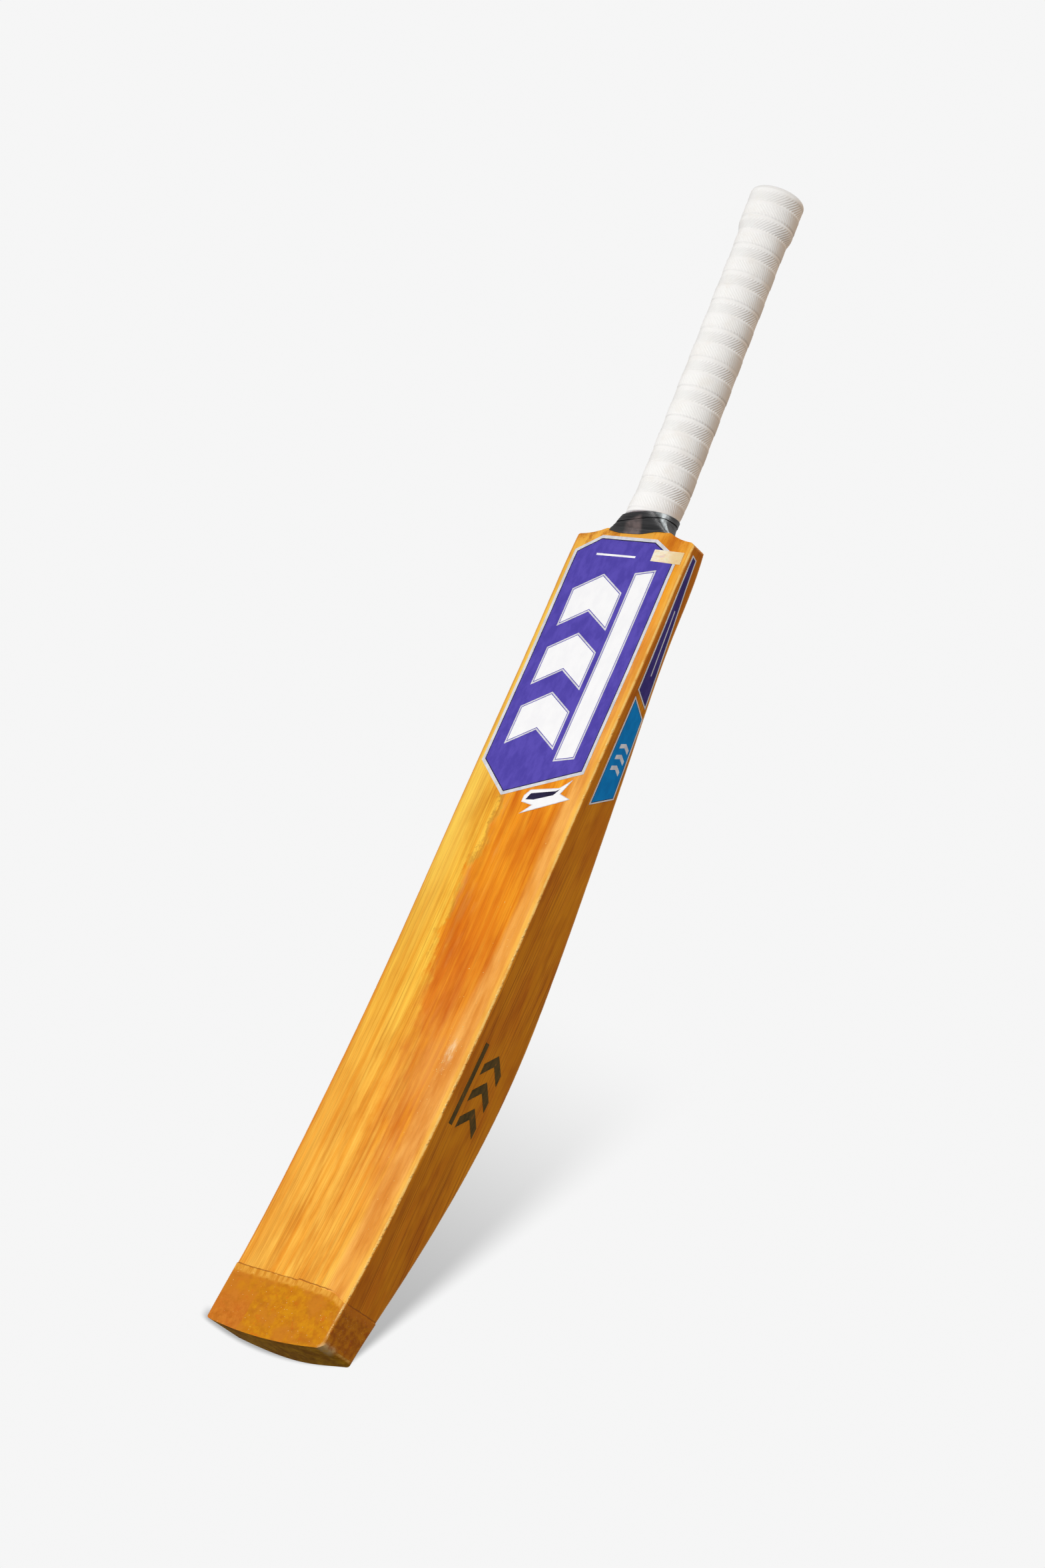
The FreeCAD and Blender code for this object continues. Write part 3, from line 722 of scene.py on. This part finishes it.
def rib_relief(below, angle):
    """How far the moulded bands and slanting ribs stand out at a place on the grip."""
    mm = below / MM
    if mm < RIBS_START:
        return 0.0
    root = STEP_PITCH**2 - 4 * STEP_STRETCH * (FIRST_STEP - mm)
    turn = (math.sqrt(max(root, 0.0)) - STEP_PITCH) / (2 * STEP_STRETCH)
    along = (turn - math.floor(turn)) * STEP_LENGTH
    slant = below / SLEEVE_RADIUS_LOW
    rising = math.sin(RIB_COUNT * (angle + slant))
    falling = math.sin(RIB_COUNT * (angle - slant))
    deep = between(*DEEP_BAND, 0.5, along)
    shallow = between(*SHALLOW_BAND, 0.5, along)
    step = between(*STEP_GROOVE, 0.2, along) + (1 - smoothstep(0.0, STEP_GROOVE_END, along))
    relief = -DEEP_SUNK * deep + DEEP_RIB * deep * rising
    relief += SHALLOW_RIB * shallow * falling + SHALLOW_PROUD * shallow
    relief += RIDGE_PROUD * between(*RIDGE, 0.9, along)
    relief -= STEP_SUNK * min(step, 1.0)
    return relief


def grip_end(angle, tree):
    """How far below the butt the sleeve's slanting lower end is, at an angle."""
    start = round_handle(GRIP_RAY_BELOW, GRIP_RAY_RADIUS, angle)
    hit = tree.ray_cast(start, AXIS)[0]
    return BUTT_ABOVE_MOUNT - (hit - MOUNT_CENTRE).dot(AXIS)


def grip_sleeve():
    """The rubber sleeve: rings of points over the butt, down the outside and back up the bore."""
    tree = tree_of("grip")
    columns = RIB_COUNT * RIB_COLUMNS
    angles = [2 * math.pi * column / columns for column in range(columns)]
    ends = [grip_end(angle, tree) for angle in angles]
    points = []

    def ring(make):
        points.extend(make(angle, end) for angle, end in zip(angles, ends))

    def plain_ring(below, radius):
        ring(lambda angle, end: round_handle(below, radius, angle))

    plain_ring(HOLE_DEPTH, HOLE_RADIUS)
    plain_ring(HOLE_ROUNDING, HOLE_RADIUS)
    plain_ring(0.0, HOLE_RADIUS + HOLE_ROUNDING)
    plain_ring(0.0, (HOLE_RADIUS + COLLAR_RADIUS) / 2 - RIM_INSIDE)
    rows = list(RIM_ROWS)
    while rows[-1] < EVEN_ROWS_END:
        rows.append(rows[-1] + GRIP_ROW)
    for below in rows:
        ring(lambda angle, end: round_handle(
            below, min(sleeve_radius(below) + rib_relief(below, angle), COLLAR_RADIUS), angle))
    for row in range(1, LOW_ROWS + 1):

        def low_point(angle, end):
            below = rows[-1] + (end - rows[-1]) * (row / LOW_ROWS)
            slip = GRIP_END_SLIP * smoothstep(GRIP_SLIP_LENGTH, 0.0, end - below)
            relief = rib_relief(below, angle) * smoothstep(*GRIP_END_PLAIN, end - below)
            return round_handle(below, sleeve_radius(below) + relief + GRIP_END_FLARE, angle) + slip

        ring(low_point)
    # The bore: over the twine, then over the bare ends of the cane, and back to the hole.
    ring(lambda angle, end: round_handle(end, BINDING_BORE, angle))
    plain_ring(BINDING_TOP, BINDING_BORE)
    plain_ring(BINDING_TOP, CANE_BORE)
    plain_ring(CAP_INSIDE, CANE_BORE)
    faces = []
    for here in range(0, len(points), columns):
        there = (here + columns) % len(points)
        for j in range(columns):
            k = (j + 1) % columns
            faces.append((here + j, here + k, there + k, there + j))
    mesh = bpy.data.meshes.new("grip_sleeve")
    mesh.from_pydata(points, [], faces)
    turn_outward(mesh)
    smooth(mesh)
    new_piece("grip_sleeve", mesh, "grip_rubber", "grip")


# ---- Lower tape band ----

WRAP_COLUMNS = 180
WRAP_ROWS = 30
WRAP_FOOT = 0.5978
WRAP_LOWEST_HIT = 0.5985
WRAP_TALLEST = 0.0225
WRAP_PITCH = 0.0045  # the rise of the tape in one turn
WRAP_STEP = 0.00014
WRAP_STEP_SHARE = 0.12  # the share of a turn in which the step rises
WRAP_RIPPLE = 0.00006
WRAP_RIPPLE_ROUND = 3
WRAP_RIPPLE_UP = 700
WRAP_GROOVE = 0.0003
WRAP_GROOVE_REACH = (0.0009, 0.0001)
WRAP_FLARE = 0.0034
WRAP_FLARE_RISE = 0.011
WRAP_FLARE_SIDE = (-0.70, -0.71)  # towards the left and the front
WRAP_LAP = 0.0031  # how far the tape laps down over the face
WRAP_LAP_ACROSS = (-33.0, 20.0, 22.0)  # mm: its left and right ends, and their softness
WRAP_TUCK = 0.0012
WRAP_THICKNESS = 0.0002
RAY_START = 0.06
LEAST_RADIUS = 0.010
HALVINGS = 12


def neck_wrap():
    """The lower band follows the CAD band, flares out to the left shoulder and laps over the face."""
    tree = tree_of("neck_tape_lower")
    slope = AXIS.y / AXIS.z

    def middle(height):
        return Vector((0, MOUNT_CENTRE.y + (height - MOUNT_CENTRE.z) * slope, height))

    def reach(out, height):
        """How far out the CAD band is in a direction, or nothing above its slanting top."""
        hit = tree.ray_cast(middle(height) + out * RAY_START, -out)[0]
        distance = (hit - middle(height)).dot(out) if hit else 0.0
        return distance if distance > LEAST_RADIUS else None

    def top_of(out):
        """The height of the CAD band's slanting top, found by halving."""
        low, high = WRAP_LOWEST_HIT, WRAP_LOWEST_HIT + WRAP_TALLEST
        for _ in range(HALVINGS):
            half = (low + high) / 2
            if reach(out, half):
                low = half
            else:
                high = half
        return low

    points = []
    for column in range(WRAP_COLUMNS):
        angle = 2 * math.pi * column / WRAP_COLUMNS
        out = Vector((math.cos(angle), math.sin(angle), 0))
        top = top_of(out)
        first = reach(out, WRAP_LOWEST_HIT)
        across = first * math.cos(angle) / MM
        in_front = smoothstep(0.05, -0.2, math.sin(angle))
        foot = WRAP_FOOT - WRAP_LAP * in_front * between(*WRAP_LAP_ACROSS, across)
        side_x, side_y = WRAP_FLARE_SIDE
        left = smoothstep(0.45, 0.85, side_x * math.cos(angle) + side_y * math.sin(angle))
        column_points = []
        for row in range(WRAP_ROWS + 1):
            height = foot + (top - foot) * row / WRAP_ROWS
            radius = reach(out, min(max(height, WRAP_LOWEST_HIT), top - 0.0001)) or first
            turn = (height - WRAP_FOOT) / WRAP_PITCH + column / WRAP_COLUMNS
            lap = turn - math.floor(turn)
            relief = WRAP_STEP * (smoothstep(0.0, WRAP_STEP_SHARE, lap) - lap)
            round_band = out * WRAP_RIPPLE_ROUND
            ripple = noise.noise(Vector((round_band.x, round_band.y, height * WRAP_RIPPLE_UP)))
            rise = max(1 - max(height - foot, 0.0) / WRAP_FLARE_RISE, 0.0)
            groove = WRAP_GROOVE * smoothstep(*WRAP_GROOVE_REACH, top - height)
            place = middle(height) + out * (radius + relief + WRAP_RIPPLE * ripple - groove)
            place.x -= WRAP_FLARE * left * rise * rise
            column_points.append(place)
        # Both ends are tucked in.
        points.append(column_points[0] - out * WRAP_TUCK)
        points.extend(column_points)
        points.append(column_points[-1] - out * WRAP_TUCK / 2)
    rows = WRAP_ROWS + 3
    faces = []
    for column in range(WRAP_COLUMNS):
        here = column * rows
        there = (column + 1) % WRAP_COLUMNS * rows
        for row in range(rows - 1):
            faces.append((here + row, there + row, there + row + 1, here + row + 1))
    mesh = bpy.data.meshes.new("neck_wrap")
    mesh.from_pydata(points, [], faces)
    smooth(mesh)
    thicken(new_piece("neck_wrap", mesh, "black_tape", "neck_tape_lower"), WRAP_THICKNESS)


# ---- Stickers ----

FILM = 0.00025
PRINT_THICKNESS = FILM * 0.8
HALF_WIDTH = 0.0528

# Outlines, in millimetres across and up; on an edge, across is the depth behind the face.
BOW_STEP = 6.0  # the prints bend in steps of this height
BACK_STEP = 3.0  # the back print also bends in steps of this width
FACE_OUTLINE = (
    (-47.6, 579.5), (-29.0, 592.0), (20.3, 592.0), (44.7, 579.0),
    (44.7, 417.0), (-17.6, 394.5), (-47.6, 417.6),
)
FACE_BORDERS = (2.4, 3.1)  # the widths of the silver border, and of it and the dark line together
FACE_CHEVRONS = (434.0, 479.0, 524.0)
FLASH_OUTLINE = (
    (2.3, 396.6), (6.1, 401.2), (29.5, 405.0), (38.3, 412.1), (32.5, 401.0), (42.5, 398.0),
    (4.6, 383.2), (12.3, 390.4), (2.3, 391.8),
)
FLASH_STROKE = ((5.0, 393.8), (7.6, 398.6), (28.0, 402.6), (31.0, 404.6), (27.0, 399.4), (12.0, 394.4))
BACK_OUTLINE = (
    (-20.0, 560.0), (-8.0, 572.0), (8.0, 572.0), (20.0, 560.0), (20.0, 432.0), (0.0, 408.0), (-20.0, 432.0),
)
BACK_BORDERS = (1.6, 2.1)
BACK_CHEVRONS = (440.0, 478.0, 516.0)
UPPER_EDGE_OUTLINE = ((3.4, 584.5), (8.4, 583.0), (19.6, 477.0), (6.2, 484.6))
LOWER_EDGE_OUTLINE = ((6.5, 480.0), (21.2, 470.6), (26.4, 413.6), (7.3, 399.5))
EDGE_BORDERS = (0.9, 1.3)
UPPER_EDGE_MARKS = (((8.2, 545.0), (9.0, 545.0), (12.4, 498.0), (11.6, 498.0)),)
LOWER_EDGE_MARKS = tuple(
    ((12.0, low), (16.5, low + 2.5), (21.0, low), (21.0, low + 3.2), (16.5, low + 5.7), (12.0, low + 3.2))
    for low in (428.0, 436.0, 444.0)
)

def grown(outline, distance):
    """An outline with every side moved out by a distance, or in by a negative one."""
    sides = list(zip(outline, outline[1:] + outline[:1]))
    turn = sum(u0 * v1 - u1 * v0 for (u0, v0), (u1, v1) in sides)
    out = 1 if turn > 0 else -1
    lines = []
    for (u0, v0), (u1, v1) in sides:
        normal = Vector((v1 - v0, u0 - u1)).normalized() * out
        lines.append((normal, normal.dot(Vector((u0, v0))) + distance))
    corners = []
    for (n0, c0), (n1, c1) in zip(lines[-1:] + lines[:-1], lines):
        across = n0.x * n1.y - n0.y * n1.x
        corners.append(((c0 * n1.y - c1 * n0.y) / across, (n0.x * c1 - n1.x * c0) / across))
    return tuple(corners)


def inside(outline, u, v):
    """Whether a point is within an outline."""
    found = False
    for (u0, v0), (u1, v1) in zip(outline, outline[1:] + outline[:1]):
        if (v0 > v) != (v1 > v) and u < (u1 - u0) * (v - v0) / (v1 - v0) + u0:
            found = not found
    return found


def cut_along(flat, start, end):
    """Cut a flat mesh along the line through two points."""
    across = Vector((end[1] - start[1], start[0] - end[0], 0))
    geometry = flat.verts[:] + flat.edges[:] + flat.faces[:]
    bmesh.ops.bisect_plane(
        flat, geom=geometry, dist=0.002, plane_co=Vector((*start, 0)), plane_no=across.normalized())


def printed(name, node, slot, outline, regions, place, across_step=0):
    """A sticker: its film follows the blade, and its print is regions of other materials.

    Outlines are in millimetres across and up; place turns such a pair into a point in metres.
    """
    flat = bmesh.new()
    flat.faces.new([flat.verts.new((u, v, 0)) for u, v in outline])
    for region, _ in regions:
        for start, end in zip(region, region[1:] + region[:1]):
            cut_along(flat, start, end)
    for axis, step in ((1, BOW_STEP), (0, across_step)):
        places = [corner[axis] for corner in outline]
        place_now = min(places) + step
        while step and place_now < max(places):
            line = [(place_now, 0), (place_now, 1)] if axis == 0 else [(0, place_now), (1, place_now)]
            cut_along(flat, *line)
            place_now += step
    materials = [MATERIALS[slot]]
    for _, material in regions:
        if MATERIALS[material] not in materials:
            materials.append(MATERIALS[material])
    for face in flat.faces:
        centre = face.calc_center_median()
        for region, material in regions:
            if inside(region, centre.x, centre.y):
                face.material_index = materials.index(MATERIALS[material])
    for vertex in flat.verts:
        vertex.co = place(vertex.co.x, vertex.co.y)
    bmesh.ops.recalc_face_normals(flat, faces=flat.faces[:])
    flat.normal_update()
    facing = Vector()
    centre = Vector()
    for face in flat.faces:
        facing += face.normal * face.calc_area()
        centre += face.calc_center_median() / len(flat.faces)
    if facing.dot(Vector((centre.x, centre.y, 0))) < 0:
        bmesh.ops.reverse_faces(flat, faces=flat.faces[:])
    mesh = bpy.data.meshes.new(name)
    flat.to_mesh(mesh)
    flat.free()
    piece = new_piece(name, mesh, slot, node)
    for material in materials[1:]:
        mesh.materials.append(material)
    thicken(piece, PRINT_THICKNESS)


BLADE_TREE = tree_of("blade")
GUARD_TREE = tree_of("toe_guard")
LOWEST_LEVEL = 5  # mm, as is the next
HIGHEST_LEVEL = 588
SPLICE_SIDE = 0.02


def face_y(height):
    """The face's place at a height, read from the CAD blade and toe guard beside the splice."""
    start = Vector((SPLICE_SIDE, -1.0, height))
    hits = [tree.ray_cast(start, Vector((0, 1, 0)))[0] for tree in (BLADE_TREE, GUARD_TREE)]
    return min(hit.y for hit in hits if hit)


FACE_TABLE = [face_y(MM * height) for height in range(LOWEST_LEVEL, HIGHEST_LEVEL)]


def bow(height):
    """The face's place at any height on the blade, in metres."""
    share = min(max(height / MM - LOWEST_LEVEL, 0.0), len(FACE_TABLE) - 1.001)
    index = int(share)
    return FACE_TABLE[index] + (FACE_TABLE[index + 1] - FACE_TABLE[index]) * (share - index)


def on_face(u, v):
    """A point on the face's film, u mm across and v mm up."""
    return Vector((u * MM, bow(v * MM) - FILM, v * MM))


def on_edge(side):
    """The same for one edge's film, where u is the depth behind the face."""
    return lambda u, v: Vector((side * (HALF_WIDTH + FILM), bow(v * MM) + u * MM, v * MM))


BACK_TREE = tree_of("back_sticker")
BACK_MIDDLE = 490.0  # the height of the back sticker's middle
BACK_INSET = 0.995  # rays are cast a little inside the outline, so that none misses the CAD sticker


def on_back(u, v):
    """The CAD sticker's outer side, which is curved both ways."""
    start = Vector((u * BACK_INSET * MM, 1.0, (BACK_MIDDLE + (v - BACK_MIDDLE) * BACK_INSET) * MM))
    hit = BACK_TREE.ray_cast(start, Vector((0, -1, 0)))[0]
    return Vector((u * MM, hit.y, v * MM))


def upright_bar(left, right, low, high, rise):
    """A bar between two uprights whose ends slope up to the right."""
    return ((left, low), (right, low + rise), (right, high + rise), (left, high))


def chevron(left, right, low, arm, thickness):
    """A chevron that points up, its foot at low."""
    middle = (left + right) / 2
    return (
        (left, low), (middle, low + arm), (right, low),
        (right, low + thickness), (middle, low + arm + thickness), (left, low + thickness),
    )


def outlined(shape, gap=0.55, border=1.1):
    """A white shape with a thin gap round it and a silver border outside that."""
    return [
        (grown(shape, gap + border), "silver_print"),
        (grown(shape, gap), "violet_sticker"),
        (shape, "white_sticker"),
    ]


def bordered(outline, borders, inner):
    """A sticker's regions: a silver border, a thin dark line and the ground inside it."""
    silver, dark = borders
    line = grown(outline, -silver)
    return [(outline, "silver_print"), (line, "dark_print"), (grown(outline, -dark), inner)]


def stick_face():
    """The violet panel with three chevrons, a bar and a heading line, and the flash below it."""
    face = bordered(FACE_OUTLINE, FACE_BORDERS, "violet_sticker")
    for low in FACE_CHEVRONS:
        face += outlined(chevron(-33.0, 8.0, low, 12.0, 25.0))
    face += outlined(upright_bar(15.5, 29.5, 425.0, 564.0, 3.0))
    face.append((upright_bar(-27.0, 8.0, 576.5, 578.0, 0.0), "white_sticker"))
    printed("face_print", "face_sticker", "violet_sticker", FACE_OUTLINE, face, on_face)
    flash = [
        (FLASH_OUTLINE, "silver_print"),
        (grown(FLASH_OUTLINE, -0.5), "white_sticker"),
        (FLASH_STROKE, "dark_print"),
    ]
    printed("flash_print", "flash_sticker", "white_sticker", FLASH_OUTLINE, flash, on_face)


def stick_edges():
    """The violet wedge and the cyan panel, on both edges."""
    for side, word in ((1, "right"), (-1, "left")):
        # The upper edge sticker's ground is the darker violet, painted shade on the edges.
        for part, outline, slot, ground, marks in (
            ("upper", UPPER_EDGE_OUTLINE, "violet_sticker", "violet_edge_shaded", UPPER_EDGE_MARKS),
            ("lower", LOWER_EDGE_OUTLINE, "cyan_sticker", "cyan_sticker", LOWER_EDGE_MARKS),
        ):
            regions = bordered(outline, EDGE_BORDERS, ground)
            regions += [(mark, "silver_print") for mark in marks]
            place = "%s_%s" % (part, word)
            printed("edge_print_" + place, "edge_sticker_" + place, slot, outline, regions, on_edge(side))


def stick_back():
    """The violet panel with three chevrons, on the upper spine."""
    back = bordered(BACK_OUTLINE, BACK_BORDERS, "violet_sticker")
    for low in BACK_CHEVRONS:
        back += outlined(chevron(-12.0, 12.0, low, 8.0, 14.0))
    printed("back_print", "back_sticker", "violet_sticker", BACK_OUTLINE, back, on_back, BACK_STEP)


# ---- Varnish beads ----

ARRIS_RADIUS = 0.0025
ARRIS_INSET = ARRIS_RADIUS * (1 - math.sqrt(0.5))
GUARD_PROUD = 0.00035
GUARD_TOP_RIGHT = 0.0360
RUN_START = 0.0065
RUN_END = 0.470
RUN_THIN_ABOVE = 0.33
BIG_BEAD_CHANCE = 0.12
FACE_SPECKS = 46
GLARE_SPECKS = 60  # round the pale spot on the face


def add_bead(mesh, place, radius, length, seed):
    """A small uneven blob of set varnish, longer along the blade."""
    made = bmesh.ops.create_icosphere(mesh, subdivisions=2, radius=1.0)
    for vertex in made["verts"]:
        swell = 1 + 0.25 * noise.noise(vertex.co * 1.7 + Vector((seed, 0, 0)))
        sides = Vector((vertex.co.x * radius, vertex.co.y * radius, vertex.co.z * length))
        vertex.co = place + sides * swell


def varnish_beads():
    """Runs and beads of varnish along the right arris, and small specks on the face beside it."""
    draw = random.Random(7)
    beads = bmesh.new()
    level = RUN_START
    while level < RUN_END:
        radius = draw.uniform(0.00018, 0.00050)
        if draw.random() < BIG_BEAD_CHANCE:
            radius *= 1.5
        length = radius * draw.uniform(1.0, 2.8)
        shift = draw.uniform(-0.0006, 0.0004)
        proud = GUARD_PROUD if level < GUARD_TOP_RIGHT else 0.0
        across = HALF_WIDTH - ARRIS_INSET + shift + proud
        place = Vector((across, bow(level) + ARRIS_INSET - shift * 0.3, level))
        add_bead(beads, place, radius, length, draw.random() * 9)
        level += draw.uniform(0.0009, 0.0036) * (1.0 if level < RUN_THIN_ABOVE else 1.7)

    def speck(across, level, least, most):
        radius = draw.uniform(least, most)
        length = radius * draw.uniform(1, 2)
        add_bead(beads, Vector((across, bow(level), level)), radius, length, draw.random())

    for _ in range(FACE_SPECKS):
        level = draw.triangular(0.060, 0.400, 0.230)
        speck(draw.triangular(0.018, 0.050, 0.046), level, 0.00012, 0.00032)
    for _ in range(GLARE_SPECKS):
        level = draw.gauss(0.212, 0.012)
        speck(draw.gauss(0.0360, 0.0030), level, 0.00010, 0.00030)
    mesh = bpy.data.meshes.new("varnish_beads")
    beads.to_mesh(mesh)
    beads.free()
    smooth(mesh)
    new_piece("varnish_beads", mesh, "willow", material="varnish_bead")


grip_sleeve()
neck_wrap()
stick_face()
stick_edges()
stick_back()
varnish_beads()


# ---- CAD nodes that stay ----

def dress_cad_nodes():
    """Give every CAD node the procedural material of its record slot."""
    for subpart in frame["record"]["subparts"]:
        mesh = NODES[subpart["node"]].data
        mesh.materials.clear()
        mesh.materials.append(MATERIALS[subpart["material_slot"]])


dress_cad_nodes()


# ---- Stage, light and camera ----

AIM = Vector((0.0, -0.0185, 0.4029))
DISTANCE = 2.8375
AZIMUTH = math.radians(45.5)
RISE = math.radians(17.04)
ROLL = math.radians(24.6)
LENS = 99.5
SENSOR = 36.0
FORWARD = Vector((-math.sin(AZIMUTH) * math.cos(RISE), math.cos(AZIMUTH) * math.cos(RISE), math.sin(RISE)))
AMBIENT = (0.43, 0.42, 0.41, 1.0)

FLOOR_HEIGHT = -0.62
FLOOR_RADIUS = 5.0
FLOOR_GLOW = 0.985  # the share of the floor's paleness that doesn't depend on the lamps
CARD_LEFT = -0.12
CARD_RIGHT = 0.19
CARD_LOW = -0.03
CARD_HIGH = 0.30

# The shadow on the card, from the card's own origin.
SHADE_CORNER = Vector((0.0464, 0.0053, -0.006))  # the toe's corner, from which the shadow spreads
SHADE_BEHIND = 0.07
SHADE_LENGTH = 0.285
SHADE_DEPTH = 0.5
SHADE_SPREAD = 0.47
SHADE_SPREAD_START = 0.003
SHADE_SOFTNESS = 0.10
SHADE_SOFTNESS_START = 0.0015
SHADE_FOOT = (-0.001, 0.004)
SHADE_LEFT = (-0.075, -0.055)
CONTACT_LOWEST_X = -0.058
CONTACT_LOWEST_Z = -0.0140
CONTACT_CURVE = 3.87
CONTACT_DEPTH = 0.5
CONTACT_RIM = (-0.0016, 0.0022)
CONTACT_LEFT = (-0.097, -0.089)
CONTACT_RIGHT = (0.004, -0.004)
CONTACT_HEAD = (0.001, -0.006)


def floor_material():
    """Matt pale paper with a faint tooth."""
    s = Shader("floor_paper", roughness=0.9, specular=0.0)
    tooth = s.noise((40, 40, 40), detail=4)
    s.colour(s.mix(tooth, (34, 34, 34), (42, 42, 42)))
    s.feed(s.surface.inputs["Emission Color"], (*PALE, 1))
    s.feed(s.surface.inputs["Emission Strength"], FLOOR_GLOW)
    return s.material


def shade_material():
    """A painted shadow: a soft grey wedge that spreads from the toe's corner and fades with height, on a
    clear card.
    """
    s = Shader("cast_shade", roughness=1.0, specular=0.0)
    x, _, z = s.axes()
    s.colour((0, 0, 0, 1))
    edge = s.math("MULTIPLY_ADD", z, SHADE_SPREAD, SHADE_SPREAD_START)
    soft = s.math("MULTIPLY_ADD", z, SHADE_SOFTNESS, SHADE_SOFTNESS_START)
    beyond = s.math("DIVIDE", s.math("SUBTRACT", edge, x), soft)
    wedge = s.times(s.ramp(beyond, -1.0, 1.0), s.ramp(z, *SHADE_FOOT), s.ramp(x, *SHADE_LEFT))
    wedge = s.times(wedge, s.ramp(z, 0.0, SHADE_LENGTH, SHADE_DEPTH, 0.0))
    # A painted contact shadow: a thin dark band that follows the toe's lower outline.
    from_lowest = s.math("SUBTRACT", x, CONTACT_LOWEST_X)
    curve = s.math("MULTIPLY_ADD", s.times(from_lowest, from_lowest), CONTACT_CURVE, CONTACT_LOWEST_Z)
    contact = s.ramp(s.math("SUBTRACT", z, curve), *CONTACT_RIM, 0.0, CONTACT_DEPTH)
    ends = s.times(s.ramp(x, *CONTACT_LEFT), s.ramp(x, *CONTACT_RIGHT))
    contact = s.times(contact, ends, s.ramp(z, *CONTACT_HEAD))
    s.feed(s.surface.inputs["Alpha"], s.math("MAXIMUM", wedge, contact))
    return s.material


def set_stage():
    """A pale floor, low under the bat, and the bat's soft shadow on a clear card behind the toe."""
    mesh = bmesh.new()
    bmesh.ops.create_circle(mesh, cap_ends=True, radius=FLOOR_RADIUS, segments=96)
    data = bpy.data.meshes.new("floor")
    mesh.to_mesh(data)
    mesh.free()
    data.materials.append(floor_material())
    floor = add_object("floor", data)
    floor.location = (0, 0, FLOOR_HEIGHT)
    data = bpy.data.meshes.new("shade_card")
    across = (CARD_LEFT, CARD_RIGHT, CARD_RIGHT, CARD_LEFT)
    up = (CARD_LOW, CARD_LOW, CARD_HIGH, CARD_HIGH)
    data.from_pydata([(x, 0, z) for x, z in zip(across, up)], [], [(0, 1, 2, 3)])
    data.materials.append(shade_material())
    card = add_object("shade_card", data)
    card.location = SHADE_CORNER + FORWARD * SHADE_BEHIND
    card.rotation_euler = (0, 0, AZIMUTH)
    card.visible_shadow = False
    for piece in (floor, card):
        piece.visible_diffuse = False
        piece.visible_glossy = False


def set_camera():
    """The camera at the photo's angle: low on the bat's right, looking up at it, and rolled."""
    data = bpy.data.cameras.new("camera")
    data.lens = LENS
    data.sensor_width = SENSOR
    camera = add_object("camera", data)
    look = FORWARD.to_track_quat("-Z", "Y").to_matrix().to_4x4()
    roll = Matrix.Rotation(ROLL, 4, "Z")
    camera.matrix_world = Matrix.Translation(AIM - FORWARD * DISTANCE) @ look @ roll
    bpy.context.scene.camera = camera


def area_light(name, place, target, size, power, colour=(1, 1, 1)):
    """A round lamp at a place, turned to a target."""
    data = bpy.data.lights.new(name, "AREA")
    data.shape = "DISK"
    data.size = size
    data.energy = power
    data.color = colour
    light = add_object(name, data)
    light.location = place
    light.rotation_mode = "QUATERNION"
    light.rotation_quaternion = (Vector(target) - Vector(place)).to_track_quat("-Z", "Y")


def set_light():
    """Soft pale surroundings, a large key light on the left of the view, and two weak lamps."""
    world = bpy.data.worlds.new("studio")
    bpy.context.scene.world = world
    world.use_nodes = True
    nodes = world.node_tree.nodes
    link = world.node_tree.links.new
    seen = nodes["Background"]
    seen.inputs["Color"].default_value = (*PALE, 1)
    dim = nodes.new("ShaderNodeBackground")
    place = nodes.new("ShaderNodeTexCoord")
    axes = nodes.new("ShaderNodeSeparateXYZ")
    link(place.outputs["Generated"], axes.inputs[0])
    fade = nodes.new("ShaderNodeMapRange")
    link(axes.outputs[2], fade.inputs["Value"])
    # The surroundings are dimmer below the bat. The camera itself sees one even pale colour.
    for name, value in (("From Min", -0.6), ("From Max", 0.1), ("To Min", 0.35), ("To Max", 1.0)):
        fade.inputs[name].default_value = value
    dim.inputs["Color"].default_value = AMBIENT
    link(fade.outputs["Result"], dim.inputs["Strength"])
    path = nodes.new("ShaderNodeLightPath")
    mix = nodes.new("ShaderNodeMixShader")
    link(path.outputs["Is Camera Ray"], mix.inputs[0])
    link(dim.outputs[0], mix.inputs[1])
    link(seen.outputs[0], mix.inputs[2])
    link(mix.outputs[0], nodes["World Output"].inputs["Surface"])
    view = bpy.context.scene.camera.matrix_world.to_3x3()
    right, up, near = view.col
    key = (-right * 0.62 + up * 0.35 + near * 0.70) * 2.6
    area_light("key", AIM + key, AIM, size=1.4, power=48)
    rim = (right * 0.95 + up * 0.3 + near * 0.25) * 2.2
    area_light("rim", AIM + rim, AIM, size=0.5, power=7, colour=(1.0, 0.9, 0.8))
    neck = Vector((0, 0, 0.62))
    window = Vector((0.40, 0.42, 0.81)) * 2.4
    area_light("window", neck + window, neck, size=0.8, power=8, colour=(0.9, 0.96, 1.0))


set_stage()
set_camera()
set_light()
bpy.context.scene.view_settings.view_transform = "Standard"
